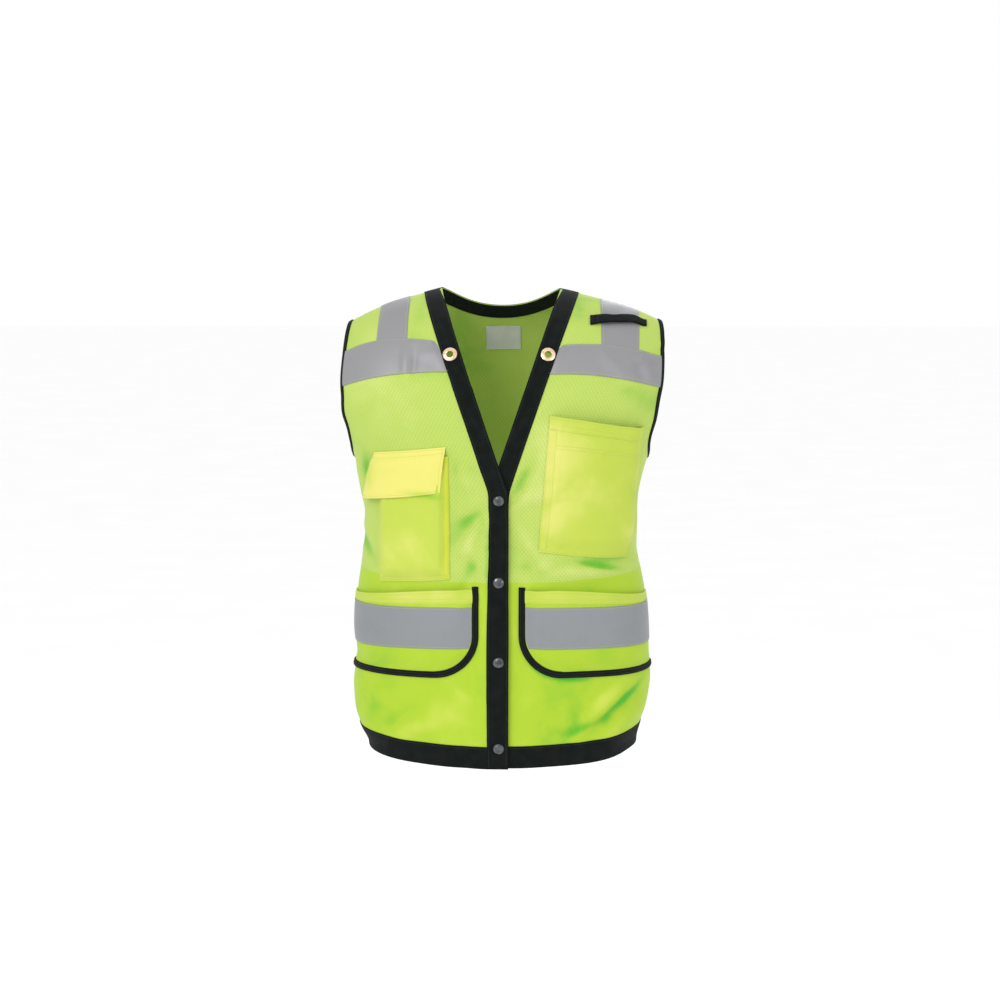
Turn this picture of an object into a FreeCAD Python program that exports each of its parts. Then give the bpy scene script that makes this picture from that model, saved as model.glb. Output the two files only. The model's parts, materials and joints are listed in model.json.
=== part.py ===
import FreeCAD, Part
import math
import os

# A surveyor's high visibility vest, worn and closed. Millimetres, +Z up, the front faces -Y, and +X is
# the wearer's left. The origin is the centre of the neck opening, level with the tops of the shoulders.
# Heights in this file count up from the hem at the centre front; place() turns them into Z.

# Driving dimensions
BODY_LENGTH = 580.0  # hem to the neck point
TAPE_WIDTH = 50.0  # reflective tape
BAND_WIDTH = 23.5  # neck and front band
HEM_HEIGHT = 27.0
ARM_BINDING = 6.0
POCKET_BINDING = 8.0
PANEL = 0.8  # cloth of the panels and pockets
TRIM = 0.7  # tapes, bands and bindings
AIR = 0.45  # left between layers
SNAP_HEIGHTS = [25.0, 131.5, 227.5, 327.0]
SNAP_RADIUS = 6.5
STUD_RADIUS = 2.8
LAP = 4.9  # how far the upper front stands off where it laps over the lower one
EYELET_X, EYELET_HEIGHT = 58.5, 500.0
EYELET_BORE = 4.2
EYELET_FLANGE = 8.6
CUT = 524.0  # height where the swinging fronts meet the shoulder yokes
CUT_GAP = 4.0
HINGE_GAP = 3.0  # from the side seam to the swinging front
BACK_SEAM_ANGLE = 0.45  # from the side seam to the edge of the back
SNAP_HOLE = 2.1

# Pockets. Corners are (x, height): bottom inner, bottom outer, top inner and top outer
LOWER_TOP, LOWER_BOTTOM = 219.0, 118.0
LOWER_TOP_FALL, LOWER_BOTTOM_FALL = 17.0, 4.0  # towards the side seam
LOWER_HEM, LOWER_HEM_AT_SIDE = 15.5, 8.5
WAIST_TAPE_BOTTOM, WAIST_TAPE_FALL = 148.0, 6.0
LOWER_INNER_X = 31.0
LOWER_CORNER = 46.0
LOWER_POCKET_DEPTH = 9.5
CHEST_POCKET_DEPTH = 9.5
RIGHT_POCKET = [(62.0, 230.0), (146.0, 223.0), (62.0, 378.0), (142.0, 372.0)]
LEFT_POCKET = [(47.0, 264.0), (158.0, 250.0), (61.0, 429.0), (172.0, 412.0)]
LEFT_POCKET_HEM_SHARE = 0.09  # how much of its height the hem takes
PEN_SLEEVE = [(52.5, 232.0), (61.0, 232.0), (52.5, 380.0), (61.0, 380.0)]
POCKET_OUTSIDE = PANEL + AIR + CHEST_POCKET_DEPTH + PANEL
FLAP_OFF = POCKET_OUTSIDE + 1.5
FLAP_TOP, FLAP_BOTTOM = 389.0, 334.0
FLAP_TOP_SLOPE, FLAP_BOTTOM_SLOPE = 0.08, 0.1
FLAP_INNER_X, FLAP_OUTER_X = 62.0, 156.0

# Neck, shoulders and back
NECK_X = 72.0
NECK_DEPTH_T = 89.0  # from the shoulder seam down to the back neckline, along the surface
LEFT_SHOULDER_TAPE = (122.0, 168.0)
RIGHT_SHOULDER_TAPE = (110.0, 154.0)
BACK_TAPE_TOP = 507.0
BACK_TAPE_BOTTOM = BACK_TAPE_TOP - TAPE_WIDTH * 0.93  # its true height, on the slope of the back
BACK_WAIST_BOTTOM = 140.0
MIC_X = (112.0, 181.0)
MIC_LOW = 533.0
MIC_WIDTH = 19.0
MIC_ARCH = 5.5
MIC_THICKNESS = 1.6
LABEL_X, LABEL_LOW, LABEL_TOP = 22.0, 500.0, 536.0

# Worn shape: the level sections are superellipses up to DOME, above which they close over the shoulders
EXPONENT = 2.4
DOME = 440.0
DOME_RISE = BODY_LENGTH - DOME
DOME_POWER = 1.24
RIDGE = DOME + DOME_RISE * math.pi / 2 - 0.9  # along the surface, just short of the shoulder seam
SHOULDER_SLOPE = 0.31
HALF_WIDTHS = [(-40, 172), (60, 178), (150, 183), (215, 178.5), (290, 167.5), (345, 172), (400, 190),
               (440, 206), (480, 214.5), (520, 217), (600, 217)]
FRONT_DEPTHS = [(-40, 116), (130, 122), (200, 121), (290, 114), (360, 118.5), (420, 121.5), (480, 119),
                (540, 117), (600, 117)]
BACK_DEPTHS = [(-40, 103), (120, 107), (220, 98), (300, 97), (390, 110), (460, 114.5), (600, 115)]
ARM_ANGLES = [(372, 0), (375, 5), (380, 9.5), (390, 15.4), (415, 22.3), (440, 25.8), (470, 27.6),
              (500, 27.9), (540, 28.6), (600, 30.5), (660, 35)]
ARM_BOTTOM = ARM_ANGLES[0][0]
FRONT_FACE, BACK_FACE = -1, 1


def spline(knots):
    """A smooth function through the knots: a natural cubic, so that its bend is continuous too."""
    xs = [float(k[0]) for k in knots]
    ys = [float(k[1]) for k in knots]
    last = len(xs) - 1
    gap = [xs[i + 1] - xs[i] for i in range(last)]
    bend, carry = [0.0] * (last + 1), [(0.0, 0.0)]
    for i in range(1, last):
        pull = 6 * ((ys[i + 1] - ys[i]) / gap[i] - (ys[i] - ys[i - 1]) / gap[i - 1])
        pivot = 2 * (gap[i - 1] + gap[i]) - gap[i - 1] * carry[-1][0]
        carry.append((gap[i] / pivot, (pull - gap[i - 1] * carry[-1][1]) / pivot))
    for i in reversed(range(1, last)):
        bend[i] = carry[i][1] - carry[i][0] * bend[i + 1]

    def value(x):
        x = min(max(x, xs[0]), xs[-1])
        i = min(sum(1 for k in xs[1:] if k <= x), last - 1)
        h, a, b = gap[i], xs[i + 1] - x, x - xs[i]
        curved = (bend[i] * a * (a * a - h * h) + bend[i + 1] * b * (b * b - h * h)) / (6 * h)
        return (ys[i] * a + ys[i + 1] * b) / h + curved

    return value


def curve(knots):
    """A smooth function through the knots with no overshoot between them."""
    xs = [float(k[0]) for k in knots]
    ys = [float(k[1]) for k in knots]
    last = len(xs) - 1
    rise = [(ys[i + 1] - ys[i]) / (xs[i + 1] - xs[i]) for i in range(last)]
    slope = [rise[0]]
    for i in range(1, last):
        a, b = rise[i - 1], rise[i]
        slope.append(2 * a * b / (a + b) if a * b > 0 else 0.0)
    slope.append(rise[-1])

    def value(x):
        x = min(max(x, xs[0]), xs[-1])
        i = min(sum(1 for k in xs[1:] if k <= x), last - 1)
        h = xs[i + 1] - xs[i]
        t = (x - xs[i]) / h
        ends = ys[i] * (2 * t**3 - 3 * t * t + 1) + ys[i + 1] * (3 * t * t - 2 * t**3)
        return ends + h * (slope[i] * (t**3 - 2 * t * t + t) + slope[i + 1] * (t**3 - t * t))

    return value


half_width = spline(HALF_WIDTHS)
front_depth = spline(FRONT_DEPTHS)
back_depth = spline(BACK_DEPTHS)
arm_angle = curve(ARM_ANGLES)


def mix(a, b, t):
    return a + (b - a) * t


def ease(t):
    t = min(1.0, max(0.0, t))
    return t * t * (3 - 2 * t)


def soft_ramp(x, width):
    """0 below 0 and x above it, with the corner rounded over width."""
    return (x + math.sqrt(x * x + width * width)) / 2


def level(t):
    """Height of the section at t, which is measured along the surface."""
    return t if t < DOME else DOME + DOME_RISE * math.sin((t - DOME) / DOME_RISE)


def along(height_):
    """The inverse of level."""
    if height_ < DOME:
        return height_
    return DOME + DOME_RISE * math.asin(min(1.0, (height_ - DOME) / DOME_RISE))


def section(t, face):
    """Half width and depth of the worn shape at t, on the front or the back."""
    v = level(t)
    depth = front_depth(v) if face < 0 else back_depth(v)
    if t > DOME:
        depth *= max(0.0, math.cos((t - DOME) / DOME_RISE)) ** DOME_POWER
    return half_width(v), depth


def droop(x, v):
    """How much lower the surface is towards the shoulder point."""
    return SHOULDER_SLOPE * soft_ramp(abs(x) - 70, 20) * ease((v - 400) / (BODY_LENGTH - 400))


def angle_at(x, t, face):
    """The angle round the body, 0 at the left side seam and -90 at the centre front, of a point at x."""
    share = min(1.0, abs(x) / half_width(level(t))) ** (EXPONENT / 2)
    turn = math.degrees(math.acos(share))
    if x < 0:
        turn = 180 - turn
    return turn * face


def surface(angle, t):
    """Point on the worn shape, with heights counted from the hem."""
    c, s = math.cos(math.radians(angle)), math.sin(math.radians(angle))
    a, b = section(t, FRONT_FACE if s < 0 else BACK_FACE)
    power = 2 / EXPONENT
    x = a * math.copysign(abs(c) ** power, c)
    y = b * math.copysign(abs(s) ** power, s)
    v = level(t)
    return FreeCAD.Vector(x, y, v - droop(x, v))


def normal(angle, t):
    """Outward unit normal of the worn shape."""
    p = surface(angle, t)
    a, b = section(t, FRONT_FACE if p.y < 0 else BACK_FACE)
    b = max(b, 0.5)
    gx = math.copysign(abs(p.x / a) ** (EXPONENT - 1) / a, p.x)
    gy = math.copysign(min(1.0, abs(p.y / b)) ** (EXPONENT - 1) / b, p.y)
    v = level(t)
    lean = (droop(p.x + 0.5, v) - droop(p.x - 0.5, v))
    across = FreeCAD.Vector(-gy, gx, gy * lean)
    up = surface(angle, min(t + 0.5, RIDGE + 0.8)) - surface(angle, t - 0.5)
    n = across.cross(up)
    return n.normalize()


def place(angle, t, off):
    """Point off millimetres outside the worn shape, in the part's own frame."""
    p = surface(angle, t) + normal(angle, t) * off
    return FreeCAD.Vector(p.x, p.y, p.z - BODY_LENGTH)


def t_at(angle, height_):
    """Distance along the surface to a true height, at one angle."""
    low, high = -30.0, RIDGE + 0.8
    for _ in range(40):
        middle = (low + high) / 2
        if surface(angle, middle).z < height_:
            low = middle
        else:
            high = middle
    return (low + high) / 2


def spot(x, height_, face=FRONT_FACE):
    """Angle and t of the point of the front or back at x and a true height."""
    t = along(height_)
    angle = 0.0
    for _ in range(12):
        angle = angle_at(x, t, face)
        t = t_at(angle, height_)
    return angle, t


def hem_height(angle):
    """The hem rises a little towards the side seams."""
    return 8.0 * math.cos(math.radians(angle)) ** 2


def front_edge(height_):
    """x of the free edge of the wearer's left front: a straight lap, then the V of the neck."""
    return -BAND_WIDTH / 2 + 0.345 * soft_ramp(height_ - 337.0, 6.0)


# Solids from grids


def poles_for(points):
    """Control points of an evenly spaced cubic that passes, very nearly, through the points."""
    inner = []
    for before, p, after in zip(points, points[1:], points[2:]):
        inner.append(p - (before - p * 2 + after) * (1 / 6))
    second = points[0] + (points[1] - points[0]) * (1 / 3)
    second_last = points[-1] + (points[-2] - points[-1]) * (1 / 3)
    return [points[0], second] + inner + [second_last, points[-1]]


def skin_through(grid):
    rows = [poles_for(row) for row in grid]
    columns = [poles_for(list(column)) for column in zip(*rows)]
    poles = [list(row) for row in zip(*columns)]
    knots = [[float(k) for k in range(n)] for n in (len(grid), len(grid[0]))]
    repeats = [[4] + [1] * (len(k) - 2) + [4] for k in knots]
    skin = Part.BSplineSurface()
    skin.buildFromPolesMultsKnots(poles, repeats[0], repeats[1], knots[0], knots[1], False, False, 3, 3)
    return skin


def solid_between(outer, inner):
    """Closed solid between two grids of points of one layout."""
    skins = [skin_through(grid) for grid in (outer, inner)]
    faces = [skin.toShape() for skin in skins]
    for side in range(4):
        edges = []
        for skin in skins:
            bound = skin.bounds()[side]
            iso = skin.uIso(bound) if side < 2 else skin.vIso(bound)
            edges.append(iso.toShape())
        faces.append(Part.makeRuledSurface(edges[0], edges[1]))
    shell = Part.Shell(faces)
    shell.sewShape()
    solid = Part.Solid(shell)
    if solid.Volume < 0:
        solid.reverse()
    return solid


def mirrored(solid):
    return solid.mirror(FreeCAD.Vector(0, 0, 0), FreeCAD.Vector(1, 0, 0))


def cloth(grid, low, high):
    """A sheet between the offsets low and high over a grid of (angle, t); an offset may be a function."""
    layers = []
    for off in (high, low):
        layer = []
        for row in grid:
            layer.append([place(a, t, off(a, t) if callable(off) else off) for a, t in row])
        layers.append(layer)
    return solid_between(layers[0], layers[1])


def grid_of(rows, columns, at):
    """Grid of at(q, s) for q up the rows and s across the columns, both from 0 to 1."""
    return [[at(q / rows, s / columns) for s in range(columns + 1)] for q in range(rows + 1)]


def off_at(off, p, t):
    """Value at a point near t of an offset that may be a function."""
    face = FRONT_FACE if p.y < 0 else BACK_FACE
    return off(angle_at(p.x, t, face), t) if callable(off) else off


def ribbon(path, width, low, high):
    """A narrow strip to the left of a path of (angle, t), lying on the surface."""
    points = [place(a, t, 0) for a, t in path]
    outer, inner = [], []
    for i, (angle, t) in enumerate(path):
        ahead = points[min(i + 1, len(path) - 1)] - points[max(i - 1, 0)]
        n = normal(angle, t)
        sideways = n.cross(ahead)
        sideways.normalize()
        steps = [points[i] + sideways * (width * k / 2) for k in range(3)]
        outer.append([p + n * off_at(high, p, t) for p in steps])
        inner.append([p + n * off_at(low, p, t) for p in steps])
    return solid_between(outer, inner)


def turned(profile, x, height_):
    """Solid of revolution about the cloth's normal at the front; the profile is (radius, offset) pairs."""
    angle, t = spot(x, height_)
    points = [FreeCAD.Vector(r, 0, off) for r, off in profile]
    face = Part.Face(Part.makePolygon(points + [points[0]]))
    solid = face.revolve(FreeCAD.Vector(0, 0, 0), FreeCAD.Vector(0, 0, 1), 360)
    turn = FreeCAD.Rotation(FreeCAD.Vector(0, 0, 1), normal(angle, t))
    solid.Placement = FreeCAD.Placement(place(angle, t, 0), turn)
    return solid


def drilled(solid, x, height_, radius):
    """The solid with a round hole along the cloth's normal."""
    reach = 30
    tool = turned([(0, -reach), (radius, -reach), (radius, reach), (0, reach)], x, height_)
    return solid.cut(tool)


# Fronts


def lap(angle, t):
    """Stand-off of the wearer's right front, mirrored onto the left, where it laps over."""
    return LAP * ease((46 - surface(angle, t).x) / 32)


def no_lap(angle, t):
    return 0.0


def arm_edge(t, height_, face, inset=0.0):
    """Angle and t of the armhole edge at a height, set back by inset millimetres round the body."""
    angle = 0.0
    for _ in range(8):
        a = half_width(level(t))
        angle = face * (arm_angle(t) + math.degrees(inset / a) * 1.5)
        t = t_at(angle, height_)
    return angle, t


def seam_angle(t, gap):
    """Angle of a point gap millimetres in front of the side seam."""
    depth = section(t, FRONT_FACE)[1]
    return -math.degrees(math.asin((gap / depth) ** (EXPONENT / 2)))


def front_side(height_, inset=0.0):
    """Outer edge of a front: the side seam, then the armhole."""
    seam = seam_angle(height_, HINGE_GAP + inset)
    if height_ <= ARM_BOTTOM:
        return seam, height_
    angle, t = arm_edge(along(height_), height_, FRONT_FACE, inset)
    return min(angle, seam), t


def front_grid(low, high, inner, outer, rows, columns, crowding=1.0):
    """Grid between two heights, functions of the angle, and two edges, functions of height giving an angle.
    Crowding over 1 packs the columns towards the inner edge."""
    grid = []
    for i in range(rows + 1):
        q = i / rows
        rough = mix(low(-60.0), high(-60.0), q)
        first, last = inner(rough), outer(rough)
        angles = [mix(first, last, (k / columns) ** crowding) for k in range(columns + 1)]
        grid.append([(a, t_at(a, mix(low(a), high(a), q))) for a in angles])
    return grid


def front_x(x_of):
    """An edge given as x, turned into an angle at each height."""
    return lambda height_: spot(x_of(height_), height_)[0]


def front_panel(stand_off):
    grid = front_grid(hem_height, lambda a: CUT - CUT_GAP / 2, front_x(front_edge),
                      lambda h: front_side(h)[0], 44, 24, 1.5)
    return cloth(grid, stand_off, lambda a, t: stand_off(a, t) + PANEL)


def front_band(stand_off):
    """The black band on the lap and the V, up to the yoke."""
    low = PANEL + AIR
    grid = front_grid(hem_height, lambda a: CUT - CUT_GAP / 2, front_x(front_edge),
                      front_x(lambda h: front_edge(h) + BAND_WIDTH), 44, 5)
    return cloth(grid, lambda a, t: stand_off(a, t) + low, lambda a, t: stand_off(a, t) + low + TRIM)


def yoke():
    """Front of the shoulder, from the cut to the shoulder seam."""

    def at(q, s):
        base = CUT + CUT_GAP / 2
        start = spot(front_edge(base), base)
        end = front_side(base)
        t = mix(start[1], RIDGE, q)
        inner = angle_at(mix(front_edge(base), NECK_X, q), t, FRONT_FACE)
        outer = -arm_angle(mix(end[1], RIDGE, q))
        angle = mix(inner, outer, s)
        return angle, mix(t_at(angle, base), RIDGE, q)

    return cloth(grid_of(8, 8, at), 0, PANEL)


def front_arm_binding():
    heights = [ARM_BOTTOM + 1.5, 376, 381, 388, 398, 412, 430, 450, 472, 495, 510, CUT - CUT_GAP / 2]
    path = [front_side(h) for h in heights]
    return ribbon(path, ARM_BINDING, PANEL + AIR, PANEL + AIR + TRIM)


def front_hem_band(stand_off):
    low = PANEL + AIR
    grid = front_grid(hem_height, lambda a: hem_height(a) + HEM_HEIGHT,
                      front_x(lambda h: front_edge(h) + BAND_WIDTH + 0.6), lambda h: front_side(h)[0],
                      3, 24, 1.3)
    return cloth(grid, lambda a, t: stand_off(a, t) + low, lambda a, t: stand_off(a, t) + low + TRIM)


def chest_tape(stand_off):
    low = PANEL + AIR

    def bottom(angle):
        x = surface(angle, 480).x
        return 480 - 0.0012 * (x - 65) ** 2

    def top(angle):
        x = surface(angle, 520).x
        return 516 - 0.0007 * (x - 80) ** 2

    grid = front_grid(bottom, top, front_x(lambda h: front_edge(h) + BAND_WIDTH + 1.0),
                      lambda h: front_side(h, ARM_BINDING + 2.0)[0], 5, 16)
    return cloth(grid, lambda a, t: stand_off(a, t) + low, lambda a, t: stand_off(a, t) + low + TRIM)


# Pockets: each stands off the panel, sewn down at its sides and bottom and open at the top


def side_share(angle):
    """0 at the centre front and 1 at the side seam."""
    return math.cos(math.radians(angle)) ** 2


def lower_top(angle):
    return LOWER_TOP - LOWER_TOP_FALL * side_share(angle)


def lower_bottom(angle):
    return LOWER_BOTTOM - LOWER_BOTTOM_FALL * side_share(angle)


def lower_hem_low(angle):
    return lower_top(angle) - mix(LOWER_HEM, LOWER_HEM_AT_SIDE, side_share(angle))


def lower_inner_x(height_):
    """Inner edge of a lower pocket, with its rounded corner."""
    below = max(0.0, LOWER_BOTTOM + LOWER_CORNER - height_)
    below = min(below, LOWER_CORNER * 0.999)
    return LOWER_INNER_X + LOWER_CORNER - math.sqrt(LOWER_CORNER**2 - below**2)


def lower_rise(angle, t):
    """Stand-off of the inside of a lower pocket over the panel."""
    p = surface(angle, t)
    inner = ease((p.x - lower_inner_x(p.z)) / 16)
    outer = ease((-p.y - HINGE_GAP - 4) / 60)
    bottom = ease((p.z - lower_bottom(angle)) / 22)
    return PANEL + AIR + LOWER_POCKET_DEPTH * inner * outer * bottom


def over(stand_off, rise, extra):
    """Stand-off of a layer extra millimetres over a pocket's inside, on a front that may lap."""
    return lambda a, t: stand_off(a, t) + rise(a, t) + extra


def lower_pocket(stand_off):
    grid = front_grid(lower_bottom, lambda a: lower_hem_low(a) - 0.5, front_x(lower_inner_x),
                      lambda h: front_side(h, 6.0)[0], 22, 30, 1.4)
    return cloth(grid, over(stand_off, lower_rise, 0), over(stand_off, lower_rise, PANEL))


def lower_pocket_hem(stand_off):
    """Folded hem along the mouth of a lower pocket."""
    grid = front_grid(lower_hem_low, lower_top, front_x(lower_inner_x),
                      lambda h: front_side(h, 6.0)[0], 3, 30, 1.4)
    return cloth(grid, over(stand_off, lower_rise, 0), over(stand_off, lower_rise, 2 * PANEL))


def lower_pocket_binding(stand_off):
    """Bias binding round the inner and bottom edge of a lower pocket."""
    path = []
    steps = 8
    gap = 0.6
    centre_x, centre_h = LOWER_INNER_X + LOWER_CORNER, LOWER_BOTTOM + LOWER_CORNER
    for h in (LOWER_TOP + 3, LOWER_TOP - 16, LOWER_TOP - 34, centre_h + 4):
        path.append(spot(LOWER_INNER_X - gap, h))
    for k in range(steps + 1):
        turn = math.radians(90 * k / steps)
        x = centre_x - (LOWER_CORNER + gap) * math.cos(turn)
        h = centre_h - (LOWER_CORNER + gap) * math.sin(turn)
        angle = spot(x, h)[0]
        path.append(spot(x, h + (lower_bottom(angle) - LOWER_BOTTOM) * k / steps))
    for x in (92.0, 110.0, 128.0, 144.0, 157.0, 167.0, 174.0):
        angle = spot(x, LOWER_BOTTOM)[0]
        path.append(spot(x, lower_bottom(angle) - gap))
    path.reverse()
    low = PANEL + AIR + 0.3
    return ribbon(path, POCKET_BINDING, lambda a, t: stand_off(a, t) + low,
                  lambda a, t: stand_off(a, t) + low + 2 * TRIM)


def waist_tape(stand_off):
    """Tape sewn across a lower pocket."""
    low = PANEL + AIR
    bottom = lambda a: WAIST_TAPE_BOTTOM - WAIST_TAPE_FALL * side_share(a)
    grid = front_grid(bottom, lambda a: bottom(a) + TAPE_WIDTH,
                      front_x(lambda h: lower_inner_x(h) + 1.5), lambda h: front_side(h, 8.0)[0], 12, 30, 1.4)
    return cloth(grid, over(stand_off, lower_rise, low), over(stand_off, lower_rise, low + TRIM))


def patch_pocket(corners, depth, edge, wall=PANEL, part=(0.0, 1.0), rows=12):
    """Part of the height of a four-cornered pocket that is depth deep, and flatter near its sewn edges."""

    def at(q, s):
        q = mix(part[0], part[1], q)
        bottom = [mix(corners[0][k], corners[1][k], s) for k in (0, 1)]
        top = [mix(corners[2][k], corners[3][k], s) for k in (0, 1)]
        return (q, s) + spot(mix(bottom[0], top[0], q), mix(bottom[1], top[1], q))

    width = corners[1][0] - corners[0][0]
    tall = corners[2][1] - corners[0][1]
    layers = []
    for extra in (wall, 0.0):
        layer = []
        for row in grid_of(rows, 12, at):
            points = []
            for q, s, angle, t in row:
                sides = ease(s * width / edge) * ease((1 - s) * width / edge)
                rise = depth * sides * ease(q * tall / (1.6 * edge))
                points.append(place(angle, t, PANEL + AIR + rise + extra))
            layer.append(points)
        layers.append(layer)
    return solid_between(layers[0], layers[1])


def right_chest_pocket():
    return patch_pocket(RIGHT_POCKET, CHEST_POCKET_DEPTH, 12.0)


def pen_sleeve():
    """Narrow sleeve for a pen along the inner side of the right chest pocket."""
    return patch_pocket(PEN_SLEEVE, 2.2, 4.0)


def left_chest_pocket():
    return patch_pocket(LEFT_POCKET, CHEST_POCKET_DEPTH, 14.0, part=(0.0, 1 - LEFT_POCKET_HEM_SHARE - 0.004))


def left_chest_pocket_hem():
    part = (1 - LEFT_POCKET_HEM_SHARE, 1.0)
    return patch_pocket(LEFT_POCKET, CHEST_POCKET_DEPTH, 14.0, 2 * PANEL, part, rows=3)


def flap_off(angle, t):
    """Stand-off of the flap: close to the panel at its hinge, outside the pocket below."""
    below = flap_top(angle) - surface(angle, t).z
    return mix(3.0, FLAP_OFF, ease(below / 10))


def flap_bottom(angle):
    return FLAP_BOTTOM - FLAP_BOTTOM_SLOPE * (abs(surface(angle, 350).x) - FLAP_INNER_X)


def flap_top(angle):
    return FLAP_TOP - FLAP_TOP_SLOPE * (abs(surface(angle, 380).x) - FLAP_INNER_X)


def pocket_flap_panel():
    grid = front_grid(flap_bottom, flap_top, front_x(lambda h: FLAP_INNER_X), front_x(lambda h: FLAP_OUTER_X),
                      10, 10)
    return cloth(grid, flap_off, lambda a, t: flap_off(a, t) + 2 * PANEL)


def flap_fastener(low, high):
    """Strip of hook or loop tape behind the lower edge of the flap."""
    grid = front_grid(lambda a: flap_bottom(a) + 6, lambda a: flap_bottom(a) + 22,
                      front_x(lambda h: 80.0), front_x(lambda h: 128.0), 2, 6)
    return cloth(grid, low, high)


# Shoulders, neck and back


def back_top(angle):
    """t of the top edge of the back: the shoulder seams and the dip of the neckline."""
    x = abs(surface(angle, RIDGE).x)
    return RIDGE - NECK_DEPTH_T * math.sqrt(max(0.0, 1 - (x / NECK_X) ** 2))


def back_panel():
    def at(q, s):
        rough = mix(0, RIDGE, q)
        edge = arm_angle(rough) if rough > ARM_BOTTOM else 0.0
        edge = max(edge, BACK_SEAM_ANGLE)
        angle = mix(edge, 180 - edge, s)
        bottom = t_at(angle, hem_height(angle))
        return angle, mix(bottom, back_top(angle), q)

    return cloth(grid_of(44, 36, at), 0, PANEL)


def back_band(bottom, height_, inset, low=PANEL + AIR, rows=3, columns=28):
    """A level strip across the whole back, from edge to edge."""

    def at(q, s):
        h = bottom + height_ * q
        edge = BACK_SEAM_ANGLE + 0.4
        if h > ARM_BOTTOM:
            edge = arm_edge(along(h), h, BACK_FACE, inset)[0]
        angle = mix(edge, 180 - edge, s)
        return angle, t_at(angle, h + (hem_height(angle) if bottom == 0 else 0))

    return cloth(grid_of(rows, columns, at), low, low + TRIM)


def collar_band():
    """Neck band from the cut on one front, round the back of the neck, to the cut on the other."""
    inner, outer = [], []
    base = CUT + CUT_GAP / 2
    start = spot(front_edge(base), base)[1]
    steps = 6
    for k in range(steps):
        q = k / steps
        t = mix(start, RIDGE, q)
        x = mix(front_edge(base), NECK_X, q)
        inner.append((x, t, FRONT_FACE))
        outer.append((x + BAND_WIDTH, t, FRONT_FACE))
    for k in range(17):
        turn = math.pi * k / 16
        inner.append((NECK_X * math.cos(turn), RIDGE - NECK_DEPTH_T * math.sin(turn), BACK_FACE))
        outer.append(((NECK_X + BAND_WIDTH) * math.cos(turn),
                      RIDGE - (NECK_DEPTH_T + BAND_WIDTH) * math.sin(turn), BACK_FACE))
    for k in reversed(range(steps)):
        inner.append((-inner[k][0], inner[k][1], FRONT_FACE))
        outer.append((-outer[k][0], outer[k][1], FRONT_FACE))
    low = PANEL + AIR + 0.25
    layers = []
    for off in (low + TRIM, low):
        layer = []
        for (xa, ta, face), (xb, tb, _) in zip(inner, outer):
            row = []
            for k in range(5):
                x, t = mix(xa, xb, k / 4), mix(ta, tb, k / 4)
                row.append(place(angle_at(x, t, face), t, off))
            layer.append(row)
        layers.append(layer)
    return solid_between(layers[0], layers[1])


def arm_binding():
    """Binding of an armhole from the cut, over the shoulder and down the back to the side seam."""
    base = CUT + CUT_GAP / 2
    start = front_side(base)[1]
    path = []
    for k in range(6):
        t = mix(start, RIDGE, k / 6)
        path.append((-arm_angle(t), t))
    for t in (RIDGE, 640, 615, 585, 555, 525, 500, 475, 450, 428, 410, 396, 386, 379, 375, ARM_BOTTOM + 0.6):
        path.append((max(arm_angle(t), BACK_SEAM_ANGLE), t))
    path.reverse()
    return ribbon(path, -ARM_BINDING, PANEL + AIR, PANEL + AIR + TRIM)


def shoulder_tape(x_inner, x_outer):
    """Tape over one shoulder, from above the chest tape to the tape across the back."""
    low = PANEL + AIR
    base = CUT + CUT_GAP / 2
    rows = []
    for k in range(7):
        rows.append([(k / 7, FRONT_FACE)] * 6)
    for k in range(9):
        rows.append([(k / 8, BACK_FACE)] * 6)
    layers = []
    for off in (low + TRIM, low):
        layer = []
        for row in rows:
            points = []
            for k, (q, face) in enumerate(row):
                x = mix(x_inner, x_outer, k / 5)
                if face == FRONT_FACE:
                    t = mix(spot(x, base)[1], RIDGE, q)
                else:
                    t = mix(RIDGE, spot(x, BACK_TAPE_TOP + 0.8, BACK_FACE)[1], q)
                points.append(place(angle_at(x, t, face), t, off))
            layer.append(points)
        layers.append(layer)
    return solid_between(layers[0], layers[1])


def microphone_low(x):
    """Height of the lower edge of the microphone tab, which dips towards the armhole."""
    return MIC_LOW - 6.0 * ease((x - 158.0) / 22.0)


def microphone_tab():
    """Webbing tab sewn down at both ends, with a low arch between to clip a microphone to."""
    base = PANEL + 2 * AIR + TRIM
    layers = []
    for extra in (MIC_THICKNESS, 0.0):
        layer = []
        for q in (0.0, 0.5, 1.0):
            row = []
            for k in range(13):
                s = k / 12
                x = mix(MIC_X[0], MIC_X[1], s)
                arch = MIC_ARCH * ease(s / 0.3) * ease((1 - s) / 0.3)
                t = spot(x, microphone_low(x))[1] + q * MIC_WIDTH
                row.append(place(angle_at(x, t, FRONT_FACE), t, base + arch + extra))
            layer.append(row)
        layers.append(layer)
    return solid_between(layers[0], layers[1])


def care_label():
    """Blank cloth label inside the back of the neck."""

    def at(q, s):
        x = mix(-LABEL_X, LABEL_X, s)
        t = mix(LABEL_LOW, LABEL_TOP, q)
        return angle_at(x, t, BACK_FACE), t

    return cloth(grid_of(3, 4, at), -AIR - 0.5, -AIR)


# Snaps and eyelets


def snaps(profile):
    return Part.makeCompound([turned(profile, 0.0, h) for h in SNAP_HEIGHTS])


def snap_caps():
    """Domed caps on the upper front, each with the shank that holds it through the cloth."""
    base = LAP + PANEL + AIR + TRIM + 0.35
    return snaps([(0, LAP - 0.1), (1.9, LAP - 0.1), (1.9, base), (SNAP_RADIUS, base),
                  (SNAP_RADIUS, base + 0.6), (5.6, base + 1.5), (3.8, base + 2.2), (1.9, base + 2.5),
                  (0, base + 2.6)])


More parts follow.
